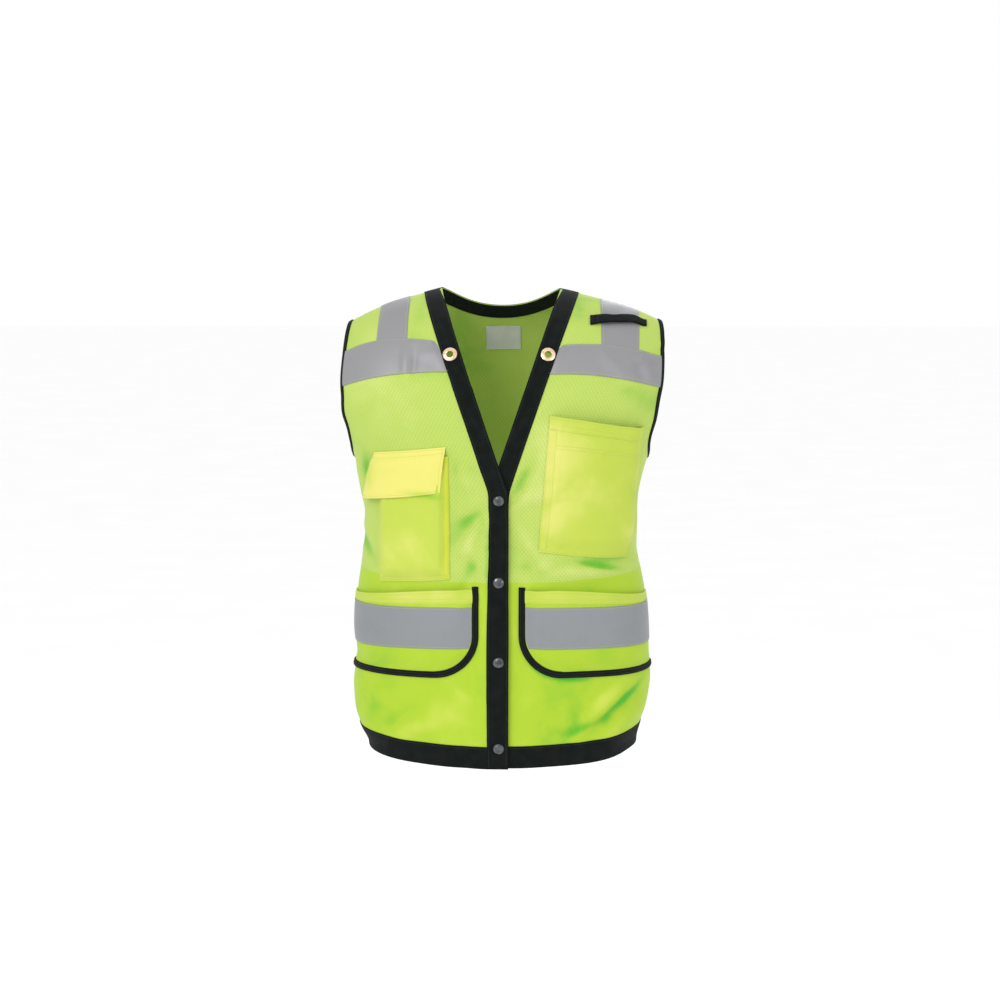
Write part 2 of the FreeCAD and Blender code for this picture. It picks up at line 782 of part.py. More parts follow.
def snap_sockets():
    """Ring sockets on the inside of the upper front."""
    top = LAP - 0.15
    return snaps([(4.1, top - 1.3), (6.1, top - 1.3), (6.1, top), (2.6, top), (2.6, top - 0.35),
                  (4.1, top - 0.35)])


def snap_studs():
    """Studs on the outside of the lower front."""
    base = PANEL + AIR + TRIM + 0.05
    return snaps([(2.3, base), (5.4, base), (5.4, base + 0.35), (STUD_RADIUS, base + 0.35),
                  (STUD_RADIUS, base + 1.9), (2.2, base + 2.2), (0, base + 2.2), (0, base + 1.9),
                  (2.3, base + 1.9)])


def snap_posts():
    """Posts set from the inside of the lower front, closed into the studs."""
    base = PANEL + AIR + TRIM
    return snaps([(0, -0.9), (5.0, -0.9), (5.0, -0.1), (1.9, -0.1), (1.9, base + 1.6), (0, base + 1.6)])


def eyelet():
    """Rolled flange outside and the barrel through the neck band."""
    top = PANEL + AIR + TRIM
    bore, flange = EYELET_BORE, EYELET_FLANGE
    return turned([(bore, -1.6), (bore + 0.6, -1.6), (bore + 0.6, top + 0.1), (flange, top + 0.1),
                   (flange, top + 0.5), (bore + 2.4, top + 1.3), (bore + 0.9, top + 1.5), (bore, top + 0.9)],
                  EYELET_X, EYELET_HEIGHT)


def eyelet_washer():
    """Washer on the inside that the barrel is rolled over."""
    return turned([(EYELET_BORE + 0.7, -1.1), (EYELET_FLANGE - 0.6, -1.1), (EYELET_FLANGE - 0.6, -0.4),
                   (EYELET_BORE + 0.7, -0.4)], EYELET_X, EYELET_HEIGHT)


def with_holes(solid):
    """Snap and eyelet holes through a front panel or its band."""
    for h in SNAP_HEIGHTS:
        solid = drilled(solid, 0.0, h, SNAP_HOLE)
    return drilled(solid, EYELET_X, EYELET_HEIGHT, EYELET_BORE + 0.7)


def fronts():
    """Sub-parts of both swinging fronts and the flap. The wearer's right front laps over the left one."""
    made = {}
    for name, stand_off, sided in (("left", no_lap, lambda s: s), ("right", lap, mirrored)):
        made[name + "_front_panel"] = sided(with_holes(front_panel(stand_off)))
        made[name + "_front_band"] = sided(with_holes(front_band(stand_off)))
        made[name + "_front_arm_binding"] = sided(front_arm_binding())
        made[name + "_hem_band"] = sided(front_hem_band(stand_off))
        made[name + "_chest_tape"] = sided(chest_tape(stand_off))
        made[name + "_waist_tape"] = sided(waist_tape(stand_off))
        made[name + "_lower_pocket"] = sided(lower_pocket(stand_off))
        made[name + "_lower_pocket_hem"] = sided(lower_pocket_hem(stand_off))
        made[name + "_lower_pocket_binding"] = sided(lower_pocket_binding(stand_off))
        made[name + "_eyelet"] = sided(eyelet())
        made[name + "_eyelet_washer"] = sided(eyelet_washer())
    made["left_chest_pocket"] = left_chest_pocket()
    made["left_chest_pocket_hem"] = left_chest_pocket_hem()
    made["right_chest_pocket"] = mirrored(right_chest_pocket())
    made["pen_sleeve"] = mirrored(pen_sleeve())
    made["pocket_flap_panel"] = mirrored(pocket_flap_panel())
    made["flap_hook_tape"] = mirrored(flap_fastener(FLAP_OFF - 0.5, FLAP_OFF - 0.25))
    made["flap_loop_tape"] = mirrored(flap_fastener(POCKET_OUTSIDE + 0.4, POCKET_OUTSIDE + 0.65))
    made["snap_caps"] = snap_caps()
    made["snap_sockets"] = snap_sockets()
    made["snap_studs"] = snap_studs()
    made["snap_posts"] = snap_posts()
    return made


def shoulders_and_back():
    """Sub-parts that stay on the wearer's shoulders and back."""
    made = {"back_panel": back_panel(), "collar_band": collar_band(), "care_label": care_label()}
    for name, sided in (("left", lambda s: s), ("right", mirrored)):
        made[name + "_front_yoke"] = sided(yoke())
        made[name + "_armhole_binding"] = sided(arm_binding())
    made["left_shoulder_tape"] = shoulder_tape(*LEFT_SHOULDER_TAPE)
    made["right_shoulder_tape"] = mirrored(shoulder_tape(*RIGHT_SHOULDER_TAPE))
    made["back_upper_tape"] = back_band(BACK_TAPE_BOTTOM, BACK_TAPE_TOP - BACK_TAPE_BOTTOM, ARM_BINDING + 2)
    made["back_waist_tape"] = back_band(BACK_WAIST_BOTTOM, TAPE_WIDTH, 0)
    made["back_hem_band"] = back_band(0, HEM_HEIGHT, 0)
    made["microphone_tab"] = microphone_tab()
    return made


def main():
    os.makedirs("parts", exist_ok=True)
    made = shoulders_and_back()
    made.update(fronts())
    for name, shape in made.items():
        shape.exportStep("parts/" + name + ".step")
        print(name, "valid" if shape.isValid() else "NOT VALID", len(shape.Solids), round(shape.Volume, 1))


main()
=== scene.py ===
import json
import math

import bpy
import mathutils
import numpy as np
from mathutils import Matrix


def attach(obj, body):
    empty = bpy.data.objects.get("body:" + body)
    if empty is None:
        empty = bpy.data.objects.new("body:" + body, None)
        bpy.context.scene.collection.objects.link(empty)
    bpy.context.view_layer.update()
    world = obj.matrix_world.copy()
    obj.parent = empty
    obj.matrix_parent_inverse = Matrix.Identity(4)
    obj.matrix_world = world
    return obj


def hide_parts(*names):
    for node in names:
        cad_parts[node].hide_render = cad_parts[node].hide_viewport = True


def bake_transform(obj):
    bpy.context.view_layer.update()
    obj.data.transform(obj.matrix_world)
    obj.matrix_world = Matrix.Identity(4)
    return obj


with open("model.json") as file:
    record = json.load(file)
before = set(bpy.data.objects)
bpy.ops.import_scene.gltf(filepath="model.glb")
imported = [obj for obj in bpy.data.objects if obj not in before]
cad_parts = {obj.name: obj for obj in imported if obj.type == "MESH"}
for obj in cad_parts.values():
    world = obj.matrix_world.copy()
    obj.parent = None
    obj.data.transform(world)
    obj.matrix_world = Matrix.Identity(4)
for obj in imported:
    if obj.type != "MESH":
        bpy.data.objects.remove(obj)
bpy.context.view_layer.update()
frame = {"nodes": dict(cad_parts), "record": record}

# A surveyor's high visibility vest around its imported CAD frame. Lengths are millimetres and heights count
# up from the hem at the centre front, as in part.py; metres() turns them into the frame's own units.
# A spot on the worn shape is given by phi, the angle round the body from 0 at the left side seam to 180
# at the right one, by t, the distance up along the surface, and by face, -1 for the front and 1 behind.

BODY_LENGTH = 580.0
BAND_WIDTH = 23.5
HEM_HEIGHT = 27.0
ARM_BINDING = 6.4
POCKET_BINDING = 8.0
PANEL = 0.8
TRIM_TOP = 1.95  # outside of a tape or band over the panel
LAP, LAP_END, LAP_RAMP = 4.9, 46.0, 32.0  # how far the upper front stands off the lower one, and where
POCKET_GAP = 0.25  # air between a panel and a pocket sewn to it
EYELETS = [(-58.5, 500.0), (58.5, 500.0)]
EYELET_HOLE = 5.4  # the ragged hole in the cloth stays hidden under the flange
EYELET_FLAT = 15.0  # the cloth lies flat this far round an eyelet
SIDE_FADE = 34.0  # folds of the front and the back fade out over this depth at the sides
SHOULDER_TAPE_END = 500.0
FRONT, BACK = -1.0, 1.0

# Worn shape, the same as in part.py
POWER = 2 / 2.4
DOME = 440.0
DOME_RISE = BODY_LENGTH - DOME
DOME_POWER = 1.24
RIDGE = DOME + DOME_RISE * math.pi / 2
SHOULDER_SLOPE = 0.31
SHOULDER_EXTRA = 4.0  # the wearer's left shoulder stands a little wider
TIP_DROP, TIP_START, TIP_REACH = 7.0, 120.0, 72.0  # extra droop beyond the shoulder tape
HALF_WIDTHS = [(-40, 172), (60, 178), (150, 183), (215, 178.5), (290, 167.5), (345, 172), (400, 190),
               (440, 206), (480, 214.5), (520, 217), (600, 217)]
FRONT_DEPTHS = [(-40, 116), (130, 122), (200, 121), (290, 114), (360, 118.5), (420, 121.5), (480, 119),
                (540, 117), (600, 117)]
BACK_DEPTHS = [(-40, 103), (120, 107), (220, 98), (300, 97), (390, 110), (460, 114.5), (600, 115)]
ARM_ANGLES = [(372, 0), (375, 5), (380, 9.5), (390, 15.4), (415, 22.3), (440, 25.8), (470, 27.6),
              (500, 27.9), (540, 28.2), (600, 28.8), (660, 30.5)]
ARM_BOTTOM = 372.0

# Folds of the cloth: x and height of both ends, width and height of the ridge
LEFT_FOLDS = [
    (14, 328, 44, 372, 7, -2.3), (16, 318, 70, 346, 9, 1.8), (18, 300, 60, 240, 9, 2.2),
    (16, 250, 52, 238, 7, -1.6), (60, 240, 168, 238, 10, 2.4), (70, 252, 165, 250, 6, -2.2),
    (20, 226, 60, 222, 6, 1.1), (76, 30, 100, 62, 10, -2.2), (104, 36, 172, 84, 10, -3),
    (92, 40, 150, 96, 11, 2.4), (30, 60, 44, 108, 13, 1.4), (150, 300, 172, 250, 9, 2.2),
    (155, 345, 176, 300, 8, -1.6), (70, 462, 120, 440, 11, 1.2), (130, 470, 184, 440, 11, -1.5),
    (120, 505, 150, 470, 7, 1.8), (172, 495, 186, 462, 6, 1.6), (36, 440, 58, 400, 13, 1.1),
]
RIGHT_FOLDS = [
    (-14, 306, -60, 252, 7, 2.3), (-15, 322, -52, 292, 7, -1.9), (-16, 336, -58, 360, 10, 1.6),
    (-15, 232, -50, 262, 8, -1.6), (-18, 224, -50, 200, 7, 1.2), (-150, 36, -96, 78, 12, -2.4),
    (-130, 30, -70, 62, 13, 2), (-36, 62, -52, 104, 11, 1.5), (-160, 90, -120, 70, 10, 1.6),
    (-176, 300, -150, 262, 7, 2.4), (-176, 282, -152, 244, 6, -2.4), (-64, 470, -120, 450, 12, 1.2),
    (-100, 505, -104, 470, 5, -1.9), (-113, 508, -113, 474, 5, 1.4), (-150, 440, -178, 410, 11, -1.5),
    (-30, 420, -56, 470, 13, 0.9), (-164, 372, -154, 330, 8, -1.8),
]
BACK_FOLDS = [
    (-60, 20, -52, 250, 20, 2.4), (10, 10, 4, 230, 24, 2.0), (72, 18, 60, 240, 20, 2.3),
    (-120, 30, -104, 210, 18, -1.6), (128, 30, 112, 215, 18, 2.0), (-150, 250, -60, 280, 14, 1.6),
    (150, 246, 70, 282, 14, 1.8), (-140, 300, -40, 312, 16, -1.3), (140, 304, 30, 316, 16, -1.3),
    (-150, 400, -96, 440, 16, 1.4), (150, 398, 92, 436, 16, 1.4), (-30, 330, 30, 410, 22, 1.0),
]
# How far the sides stand out or in from the plain shape, by height
LEFT_SWELL = [(-20, -6), (12, -8), (33, -4), (57, 2.5), (90, 5.5), (129, 0.5), (225, -2), (255, -3.5),
              (297, 1.5), (345, 2), (392, 1.5), (416, 3), (450, 0), (500, -1), (540, 1), (600, -2)]
RIGHT_SWELL = [(-20, -6), (12, -7), (33, 2), (57, 7), (81, 6), (105, 1.5), (129, -4), (160, -2), (225, -1.5),
               (260, 0), (300, 2), (330, 6), (350, 5.5), (368, 3), (400, 5), (420, 5.5), (450, 0), (500, -4),
               (540, -4.5), (600, -3)]

# Painted shadows and highlights on the cloth: greener painted shade (below 0) in creases and under bindings
# and pockets, paler painted highlight (above 0): x, height, x, height, width, strength
PAINTED_LIGHT_STROKES = [
    (16, 318, 46, 396, 9, -0.45), (16, 300, 20, 200, 5, -0.3), (100, 248, 152, 238, 4, -1.3),
    (74, 251, 158, 248, 7, -0.35), (85, 39, 124, 57, 6, -0.7), (124, 57, 175, 97, 5, -0.95),
    (112, 70, 150, 100, 8, 0.5), (36, 132, 58, 113, 5, -1.0), (58, 113, 110, 109, 5, -0.9),
    (172, 300, 178, 240, 8, -0.5), (98, 570, 92, 535, 12, -0.4), (17, 215, 20, 120, 5, 0.5),
    (60, 430, 70, 350, 40, 0.7), (60, 350, 60, 270, 30, 0.4), (-15, 312, -30, 272, 5, -0.7),
    (-14, 320, -44, 296, 6, -0.3), (-14, 300, -15, 200, 3, -0.6), (-100, 112, -58, 116, 5, -0.7),
    (-165, 378, -159, 340, 8, -0.4), (-176, 280, -166, 252, 8, -0.6), (-92, 570, -100, 530, 12, -0.4),
    (-16, 215, -19, 120, 5, 0.4), (-160, 60, -130, 80, 12, -0.3), (-52, 380, -50, 330, 5, -0.4),
    (-60, 45, -30, 90, 30, 0.3), (-100, 300, -110, 250, 30, 0.3), (-130, 336, -66, 330, 5, -0.6),
    (-20, 296, -56, 236, 6, 0.5), (-20, 268, -50, 215, 6, -0.35), (-150, 190, -30, 200, 30, 0.2),
]


def spline(knots):
    """A natural cubic through the knots."""
    xs, ys = np.array(knots, float).T
    last = len(xs) - 1
    gap = np.diff(xs)
    system = np.eye(last + 1)
    pull = np.zeros(last + 1)
    for i in range(1, last):
        system[i, i - 1:i + 2] = gap[i - 1], 2 * (gap[i - 1] + gap[i]), gap[i]
        pull[i] = 6 * ((ys[i + 1] - ys[i]) / gap[i] - (ys[i] - ys[i - 1]) / gap[i - 1])
    bend = np.linalg.solve(system, pull)

    def value(x):
        x = np.clip(x, xs[0], xs[-1])
        i = np.clip(np.searchsorted(xs, x, side="right") - 1, 0, last - 1)
        h, a, b = gap[i], xs[i + 1] - x, x - xs[i]
        curved = (bend[i] * a * (a * a - h * h) + bend[i + 1] * b * (b * b - h * h)) / (6 * h)
        return (ys[i] * a + ys[i + 1] * b) / h + curved

    return value


def curve(knots):
    """A smooth function through the knots, with no overshoot between them."""
    xs, ys = np.array(knots, float).T
    rise = np.diff(ys) / np.diff(xs)
    product, total = rise[1:] * rise[:-1], rise[1:] + rise[:-1]
    middle = np.where(product > 0, 2 * product / np.where(product > 0, total, 1.0), 0.0)
    slope = np.concatenate([rise[:1], middle, rise[-1:]])

    def value(x):
        x = np.clip(x, xs[0], xs[-1])
        i = np.clip(np.searchsorted(xs, x, side="right") - 1, 0, len(xs) - 2)
        h = xs[i + 1] - xs[i]
        t = (x - xs[i]) / h
        ends = ys[i] * (2 * t**3 - 3 * t * t + 1) + ys[i + 1] * (3 * t * t - 2 * t**3)
        return ends + h * (slope[i] * (t**3 - 2 * t * t + t) + slope[i + 1] * (t**3 - t * t))

    return value


half_width = spline(HALF_WIDTHS)
front_depth = spline(FRONT_DEPTHS)
back_depth = spline(BACK_DEPTHS)
arm_angle = curve(ARM_ANGLES)
left_swell = curve(LEFT_SWELL)
right_swell = curve(RIGHT_SWELL)


def mix(a, b, share):
    return a + (b - a) * share


def ease(share):
    share = np.clip(share, 0, 1)
    return share * share * (3 - 2 * share)


def bell(x):
    return np.exp(-x ** 2)


def soft_ramp(x, width):
    """x above 0 and 0 below, with a rounded bend as wide as width."""
    return (x + np.sqrt(x * x + width * width)) / 2


def dome_turn(t):
    return np.clip((t - DOME) / DOME_RISE, 0, math.pi / 2)


def level(t):
    """Height of the surface in the middle, at a distance t along it."""
    return np.where(t < DOME, t, DOME + DOME_RISE * np.sin(dome_turn(t)))


def along(v):
    """The other way round: the distance along the surface at a height in the middle."""
    share = np.clip((v - DOME) / DOME_RISE, 0, 1)
    return np.where(v < DOME, v, DOME + DOME_RISE * np.arcsin(share))


def droop(x, v):
    """How much lower the surface is towards the shoulder point."""
    tip = TIP_DROP * (np.clip(np.abs(x) - TIP_START, 0, 90) / TIP_REACH) ** 2
    return (SHOULDER_SLOPE * soft_ramp(np.abs(x) - 70, 20) + tip) * ease((v - 400) / (BODY_LENGTH - 400))


def widening(x, v):
    """How much wider the wearer's left shoulder stands."""
    return SHOULDER_EXTRA * ease((x - 60) / 110) * ease((v - 380) / 110)


def worn(phi, t, face):
    """Points of the worn shape without folds."""
    v = level(t)
    cosine, sine = np.cos(np.radians(phi)), np.sin(np.radians(phi))
    face = face * np.where(sine < 0, -1.0, 1.0)
    depth = np.where(face < 0, front_depth(v), back_depth(v)) * np.cos(dome_turn(t)) ** DOME_POWER
    x = half_width(v) * np.sign(cosine) * np.abs(cosine) ** POWER
    y = face * depth * np.abs(sine) ** POWER
    z = v - droop(x, v)
    return np.stack(np.broadcast_arrays(x + widening(x, v), y, z), -1)


def outward(shape, phi, t, face):
    """Unit normals of a shape, a function of phi, t and face."""
    across = shape(phi + 0.5, t, face) - shape(phi - 0.5, t, face)
    up = shape(phi, np.minimum(t + 1.5, RIDGE), face) - shape(phi, t - 1.5, face)
    n = np.cross(across, up) * np.asarray(face)[..., None]
    return n / np.linalg.norm(n, axis=-1, keepdims=True)


def strokes(point, table, hollow):
    """Sum of soft strokes over a table of ends, width and height; hollow adds a valley under each."""
    x, h = point[..., 0], point[..., 2]
    total = np.zeros(x.shape)
    for x0, h0, x1, h1, width, height in table:
        dx, dh = x1 - x0, h1 - h0
        length = math.hypot(dx, dh)
        share = np.clip(((x - x0) * dx + (h - h0) * dh) / length**2, 0, 1)
        end = np.hypot(x - x0 - share * dx, h - h0 - share * dh)
        aside = ((x - x0) * dh - (h - h0) * dx) / length
        taper = 0.3 + 0.7 * np.sin(math.pi * share)
        total += height * taper * bell(end / width)
        total -= hollow * height * taper * bell((end - 1.6 * width) / width) * (aside > 0)
    return total


def ripple_waves():
    """Seeded wave vectors, phases and heights of the small unevenness of the whole cloth."""
    seeded = np.random.default_rng(11)
    count = 26
    direction = seeded.normal(size=(count, 3)) * (1.0, 1.0, 0.7)
    direction /= np.linalg.norm(direction, axis=1, keepdims=True)
    wavelength = seeded.uniform(60, 210, count)
    return direction * (2 * math.pi / wavelength)[:, None], seeded.uniform(0, 6.3, count), wavelength / 210


RIPPLES = ripple_waves()


def small_creases(count, x_range, h_range, slope_range, seed):
    """Seeded short folds: x and height of both ends, width and height of the ridge."""
    seeded = np.random.default_rng(seed)
    table = []
    for _ in range(count):
        x, h = seeded.uniform(*x_range), seeded.uniform(*h_range)
        turn = math.radians(seeded.uniform(*slope_range)) * np.sign(x)
        half = seeded.uniform(12, 34)
        dx, dh = half * math.cos(turn), half * math.sin(turn)
        table.append((x - dx, h - dh, x + dx, h + dh, seeded.uniform(4, 7), seeded.uniform(-0.75, 0.85)))
    return table


FRONT_CREASES = small_creases(26, (-175, 175), (34, 112), (10, 60), 5)
FRONT_CREASES += small_creases(22, (-60, 60), (225, 330), (25, 70), 8)
FRONT_CREASES += small_creases(20, (-180, 180), (330, 560), (-30, 80), 9)
BACK_CREASES = small_creases(70, (-175, 175), (30, 520), (-80, -20), 6)


def ripples(point):
    """Small unevenness of the whole cloth."""
    vectors, phases, heights = RIPPLES
    total = np.zeros(point.shape[:-1])
    for vector, phase, height in zip(vectors, phases, heights):
        total += height * np.sin(point @ vector + phase)
    return total * 0.42


def fold_height(point):
    """How far the cloth stands off the worn shape."""
    x, y, h = point[..., 0], point[..., 1], point[..., 2]
    ahead = strokes(point, LEFT_FOLDS + RIGHT_FOLDS + FRONT_CREASES, 0.5) * ease(-y / SIDE_FADE)
    behind = strokes(point, BACK_FOLDS + BACK_CREASES, 0.4) * ease(y / SIDE_FADE)
    hem_flare = 0.9 * ease((150 - h) / 150) * np.sin(np.arctan2(y, x) * 9 + 1.0)
    folds = ahead + behind + ripples(point) + hem_flare
    flat = np.where(y < 0, 1 - bell(x / 13) * ease((360 - h) / 20), 1.0)
    for ex, eh in EYELETS:
        near = np.exp(-((x - ex) ** 2 + (h - eh) ** 2) / EYELET_FLAT**2)
        flat = flat * np.where(y < 0, 1 - near, 1.0)
    return folds * flat


def swell(point):
    """Sideways shift of the cloth near the sides."""
    x, h = point[..., 0], point[..., 2]
    reach = ease((np.abs(x) / half_width(h) - 0.6) / 0.4)
    shift = np.where(x < 0, -right_swell(h), left_swell(h)) * reach
    return np.stack([shift, 0 * shift, 0 * shift], -1)


def skin(phi, t, face):
    """Points of the cloth's inside, folds included."""
    point = worn(phi, t, face)
    return point + outward(worn, phi, t, face) * fold_height(point)[..., None] + swell(point)


def phi_of(x, t):
    """Angle of the points at x."""
    v = level(t)
    bare = x - widening(x - widening(x, v), v)
    share = np.minimum(1.0, np.abs(bare) / half_width(v)) ** (1 / POWER)
    turn = np.degrees(np.arccos(share))
    return np.where(bare < 0, 180 - turn, turn)


def t_at(phi, height):
    """Distance along the surface to a true height, at one angle."""
    v = height + np.zeros(np.shape(phi))
    cosine = np.abs(np.cos(np.radians(phi))) ** POWER
    for _ in range(14):
        v = height + droop(half_width(v) * cosine, v)
    return along(v)


def locate(x, height):
    """phi and t of the points at x and a true height."""
    v = height + np.zeros(np.shape(x))
    for _ in range(14):
        v = height + droop(x - widening(x, v), v)
    t = along(v)
    return phi_of(x, t), t


class Spots:
    """A grid of places on the cloth, with their points and normals."""

    def __init__(self, phi, t, face=FRONT):
        self.phi, self.t, self.face = np.broadcast_arrays(np.asarray(phi, float), t, face)
        self.point = skin(self.phi, self.t, self.face)
        self.normal = outward(skin, self.phi, self.t, self.face)

    def lift(self, off):
        return self.point + self.normal * np.asarray(off)[..., None]

    def run(self, axis):
        """Distance from the first row or column, along the grid."""
        steps = np.linalg.norm(np.diff(self.point, axis=axis), axis=-1)
        pad = [(0, 0), (0, 0)]
        pad[axis] = (1, 0)
        return np.cumsum(np.pad(steps, pad), axis=axis)

    def cloth_place(self):
        """Distances across and up the cloth, for its knit or weave."""
        across = self.run(1)
        if self.t is None:
            return np.stack([across, self.run(0)], -1)
        if self.face[0, 0] == BACK:
            middle = across.shape[1] // 2
            across = across - across[:, middle:middle + 1]
        return np.stack([across, self.t], -1)

    def gap(self, side):
        """Distance of each point from one side of the grid: low, high, inner or outer."""
        run = self.run(0 if side in ("low", "high") else 1)
        if side == "high":
            return run[-1:] - run
        if side == "outer":
            return run[:, -1:] - run
        return run


# Grids of spots


def shares(length, pitch, edge=True):
    """Shares from 0 to 1 a pitch apart, with a few close together at both ends for a rounded edge."""
    inner = np.linspace(0, 1, max(3, round(length / pitch) + 1))
    if not edge:
        return inner
    close = np.array([0.25, 0.7, 1.4]) / length
    return np.unique(np.concatenate([inner[:1], close, inner[1:-1], 1 - close, inner[-1:]]).round(7))


def spaced(phi, t, share, face):
    """Rows of angles between the first and last of each dense row, at equal shares of its length."""
    trace = worn(phi, t, face)
    run = np.cumsum(np.linalg.norm(np.diff(trace, axis=1), axis=2), axis=1)
    run = np.pad(run, ((0, 0), (1, 0)))
    return np.stack([np.interp(share, r / r[-1], p) for r, p in zip(run, phi)])


def patch(low, high, inner, outer, q, s, face=FRONT):
    """Grid between two levels, functions of phi, and two edges, functions of t."""
    rough = mix(low(np.array(50.0)), high(np.array(50.0)), q)
    ends = [np.broadcast_to(edge(rough), rough.shape) for edge in (inner, outer)]
    dense = mix(ends[0][:, None], ends[1][:, None], np.linspace(0, 1, 121))
    phi = spaced(dense, rough[:, None], s, face)
    return phi, mix(low(phi), high(phi), q[:, None])


def quad(corners, q, s):
    """Grid between four corners given as x and height: bottom inner, bottom outer, top inner, top outer."""
    (a, b), (c, d), (e, f), (g, h) = corners
    q, s = q[:, None], s[None, :]
    x = mix(mix(a, c, s), mix(e, g, s), q)
    height = mix(mix(b, d, s), mix(f, h, s), q)
    return Spots(*locate(x, height), FRONT)


def path_spots(phi, t, face, offsets):
    """Grid along a path, with its columns offsets millimetres to one side of it along the cloth."""
    centre = Spots(phi[:, None], t[:, None], face[:, None])
    ahead = np.gradient(centre.point[:, 0], axis=0)
    sideways = np.cross(centre.normal[:, 0], ahead)
    sideways /= np.linalg.norm(sideways, axis=1, keepdims=True)
    columns = len(offsets)
    spots = Spots.__new__(Spots)
    spots.t = None
    spots.point = centre.point + sideways[:, None] * np.asarray(offsets)[None, :, None]
    spots.normal = np.repeat(centre.normal, columns, axis=1)
    return spots


# Meshes


def metres(points):
    """Points in the frame's own units and place."""
    return (points - (0.0, 0.0, BODY_LENGTH)) * 0.001


def grid_quads(rows, columns, offset=0):
    """Quads of a grid of points."""
    index = np.arange(rows * columns).reshape(rows, columns) + offset
    return np.stack([index[:-1, :-1], index[:-1, 1:], index[1:, 1:], index[1:, :-1]], -1).reshape(-1, 4)


def rim_quads(kept):
    """Quads that join the borders of the kept cells of the outer grid to the inner one, which follows it."""
    rows, columns = kept.shape
    count = (rows + 1) * (columns + 1)
    index = np.arange(count).reshape(rows + 1, columns + 1)
    a, b, c, d = index[:-1, :-1], index[:-1, 1:], index[1:, 1:], index[1:, :-1]
    around = np.pad(kept, 1)
    rims = []
    for beyond, first, second in ((around[:-2, 1:-1], a, b), (around[1:-1, 2:], b, c),
                                  (around[2:, 1:-1], c, d), (around[1:-1, :-2], d, a)):
        pick = kept & ~beyond
        first, second = first[pick], second[pick]
        rims.append(np.stack([second, first, first + count, second + count], -1))
    return np.concatenate(rims)


def clear_of_eyelets(spots):
    """Cells of a front's grid that stay outside the holes for the eyelets."""
    x, h = spots.point[..., 0], spots.point[..., 2]
    middle_x = (x[:-1, :-1] + x[1:, 1:]) / 2
    middle_h = (h[:-1, :-1] + h[1:, 1:]) / 2
    kept = np.ones(middle_x.shape, bool)
    for ex, eh in EYELETS:
        kept &= np.hypot(middle_x - ex, middle_h - eh) > EYELET_HOLE
    return kept


def volume(points, quads):
    """Six times the volume inside the quads, below 0 if they face inwards."""
    a, b, c, d = (points[quads[:, k]] for k in range(4))
    return (np.einsum("ij,ij->i", a, np.cross(b, c)) + np.einsum("ij,ij->i", a, np.cross(c, d))).sum()


def make_object(name, points, faces, materials, uv=None, tone=None, chosen=None, sharp=50):
    """A mesh object from points in millimetres. chosen gives each face's material."""
    mesh = bpy.data.meshes.new(name)
    mesh.from_pydata(metres(points).tolist(), [], [list(map(int, f)) for f in faces])
    for material in materials:
        mesh.materials.append(material)
    if chosen is not None:
        mesh.polygons.foreach_set("material_index", np.asarray(chosen, dtype=np.int32))
    corners = np.empty(len(mesh.loops), dtype=np.int32)
    mesh.loops.foreach_get("vertex_index", corners)
    if uv is not None:
        layer = mesh.uv_layers.new(name="cloth")
        layer.data.foreach_set("uv", (uv[corners] * 0.001).astype(np.float32).ravel())
    # Each point's painted light, painted highlight and painted shade, goes into an attribute that the
    # materials read.
    if tone is not None:
        mesh.attributes.new("tone", "FLOAT", "POINT").data.foreach_set("value", tone.astype(np.float32))
    mesh.polygons.foreach_set("use_smooth", np.ones(len(mesh.polygons), dtype=bool))
    mesh.set_sharp_from_angle(angle=math.radians(sharp))
    mesh.validate()
    made = bpy.data.objects.new(name, mesh)
    bpy.context.scene.collection.objects.link(made)
    return made


def painted_light_of(point):
    """Painted light on the cloth: fold ridges are paler, a painted highlight, and hollows and the listed
    strokes greener, a painted shade.
    """
    painted_strokes = strokes(point, PAINTED_LIGHT_STROKES, 0.0) * ease(-point[..., 1] / 20)
    return np.clip(0.15 * fold_height(point) + painted_strokes, -1.2, 1.2)


def slab(name, spots, low, high, materials, chosen_rows=None, kept=None):
    """Closed cloth between two offsets over a grid of spots; kept picks the cells, all by default."""
    rows, columns = spots.point.shape[:2]
    outer = spots.lift(high + np.zeros((rows, columns)))
    inner = spots.lift(low + np.zeros((rows, columns)))
    points = np.concatenate([outer.reshape(-1, 3), inner.reshape(-1, 3)])
    if kept is None:
        kept = np.ones((rows - 1, columns - 1), bool)
    flat = kept.ravel()
    rims = rim_quads(kept)
    front = grid_quads(rows, columns)[flat]
    behind = grid_quads(rows, columns, rows * columns)[flat, ::-1]
    quads = np.concatenate([front, behind, rims])
    if volume(points, quads) < 0:
        quads = quads[:, ::-1]
    uv = spots.cloth_place().reshape(-1, 2)
    chosen = None
    if chosen_rows is not None:
        sheet = np.repeat(chosen_rows, columns - 1)[flat]
        chosen = np.concatenate([sheet, sheet, np.zeros(len(rims), int)])
    return make_object(name, points, quads, materials, np.concatenate([uv, uv]), painted_light_of(points), chosen)


# Sewing


def rounded(spots, sides, radius=0.9, drop=0.5):
    """How much lower the outside is near the given sides, as a rounded edge."""
    total = np.zeros(spots.point.shape[:2])
    for side in sides:
        share = np.clip(spots.gap(side) / radius, 0, 1)
        total = np.maximum(total, drop * (1 - np.sqrt(1 - (1 - share) ** 2)))
    return total


def sewn(spots, sides, inset=2.0, depth=0.22):
    """Shallow puckered channel along a row of stitches near the given sides."""
    total = np.zeros(spots.point.shape[:2])
    for side in sides:
        gap = spots.gap(side)
        along_side = spots.run(1 if side in ("low", "high") else 0)
        pucker = 0.75 + 0.25 * np.sin(along_side * 0.9) * np.sin(along_side * 0.23 + 1)
        total += depth * pucker * bell((gap - inset) / 1.1)
    return total


def sampled(at, run, points):
    """Points read off at distances along their run."""
    return np.stack([np.interp(at, run, points[:, k]) for k in range(3)], -1)


def channelled(spots, high, seams):
    """An outside with a channel along each of its seams."""
    for side, inset in seams:
        high = high - sewn(spots, [side], inset)
    return high


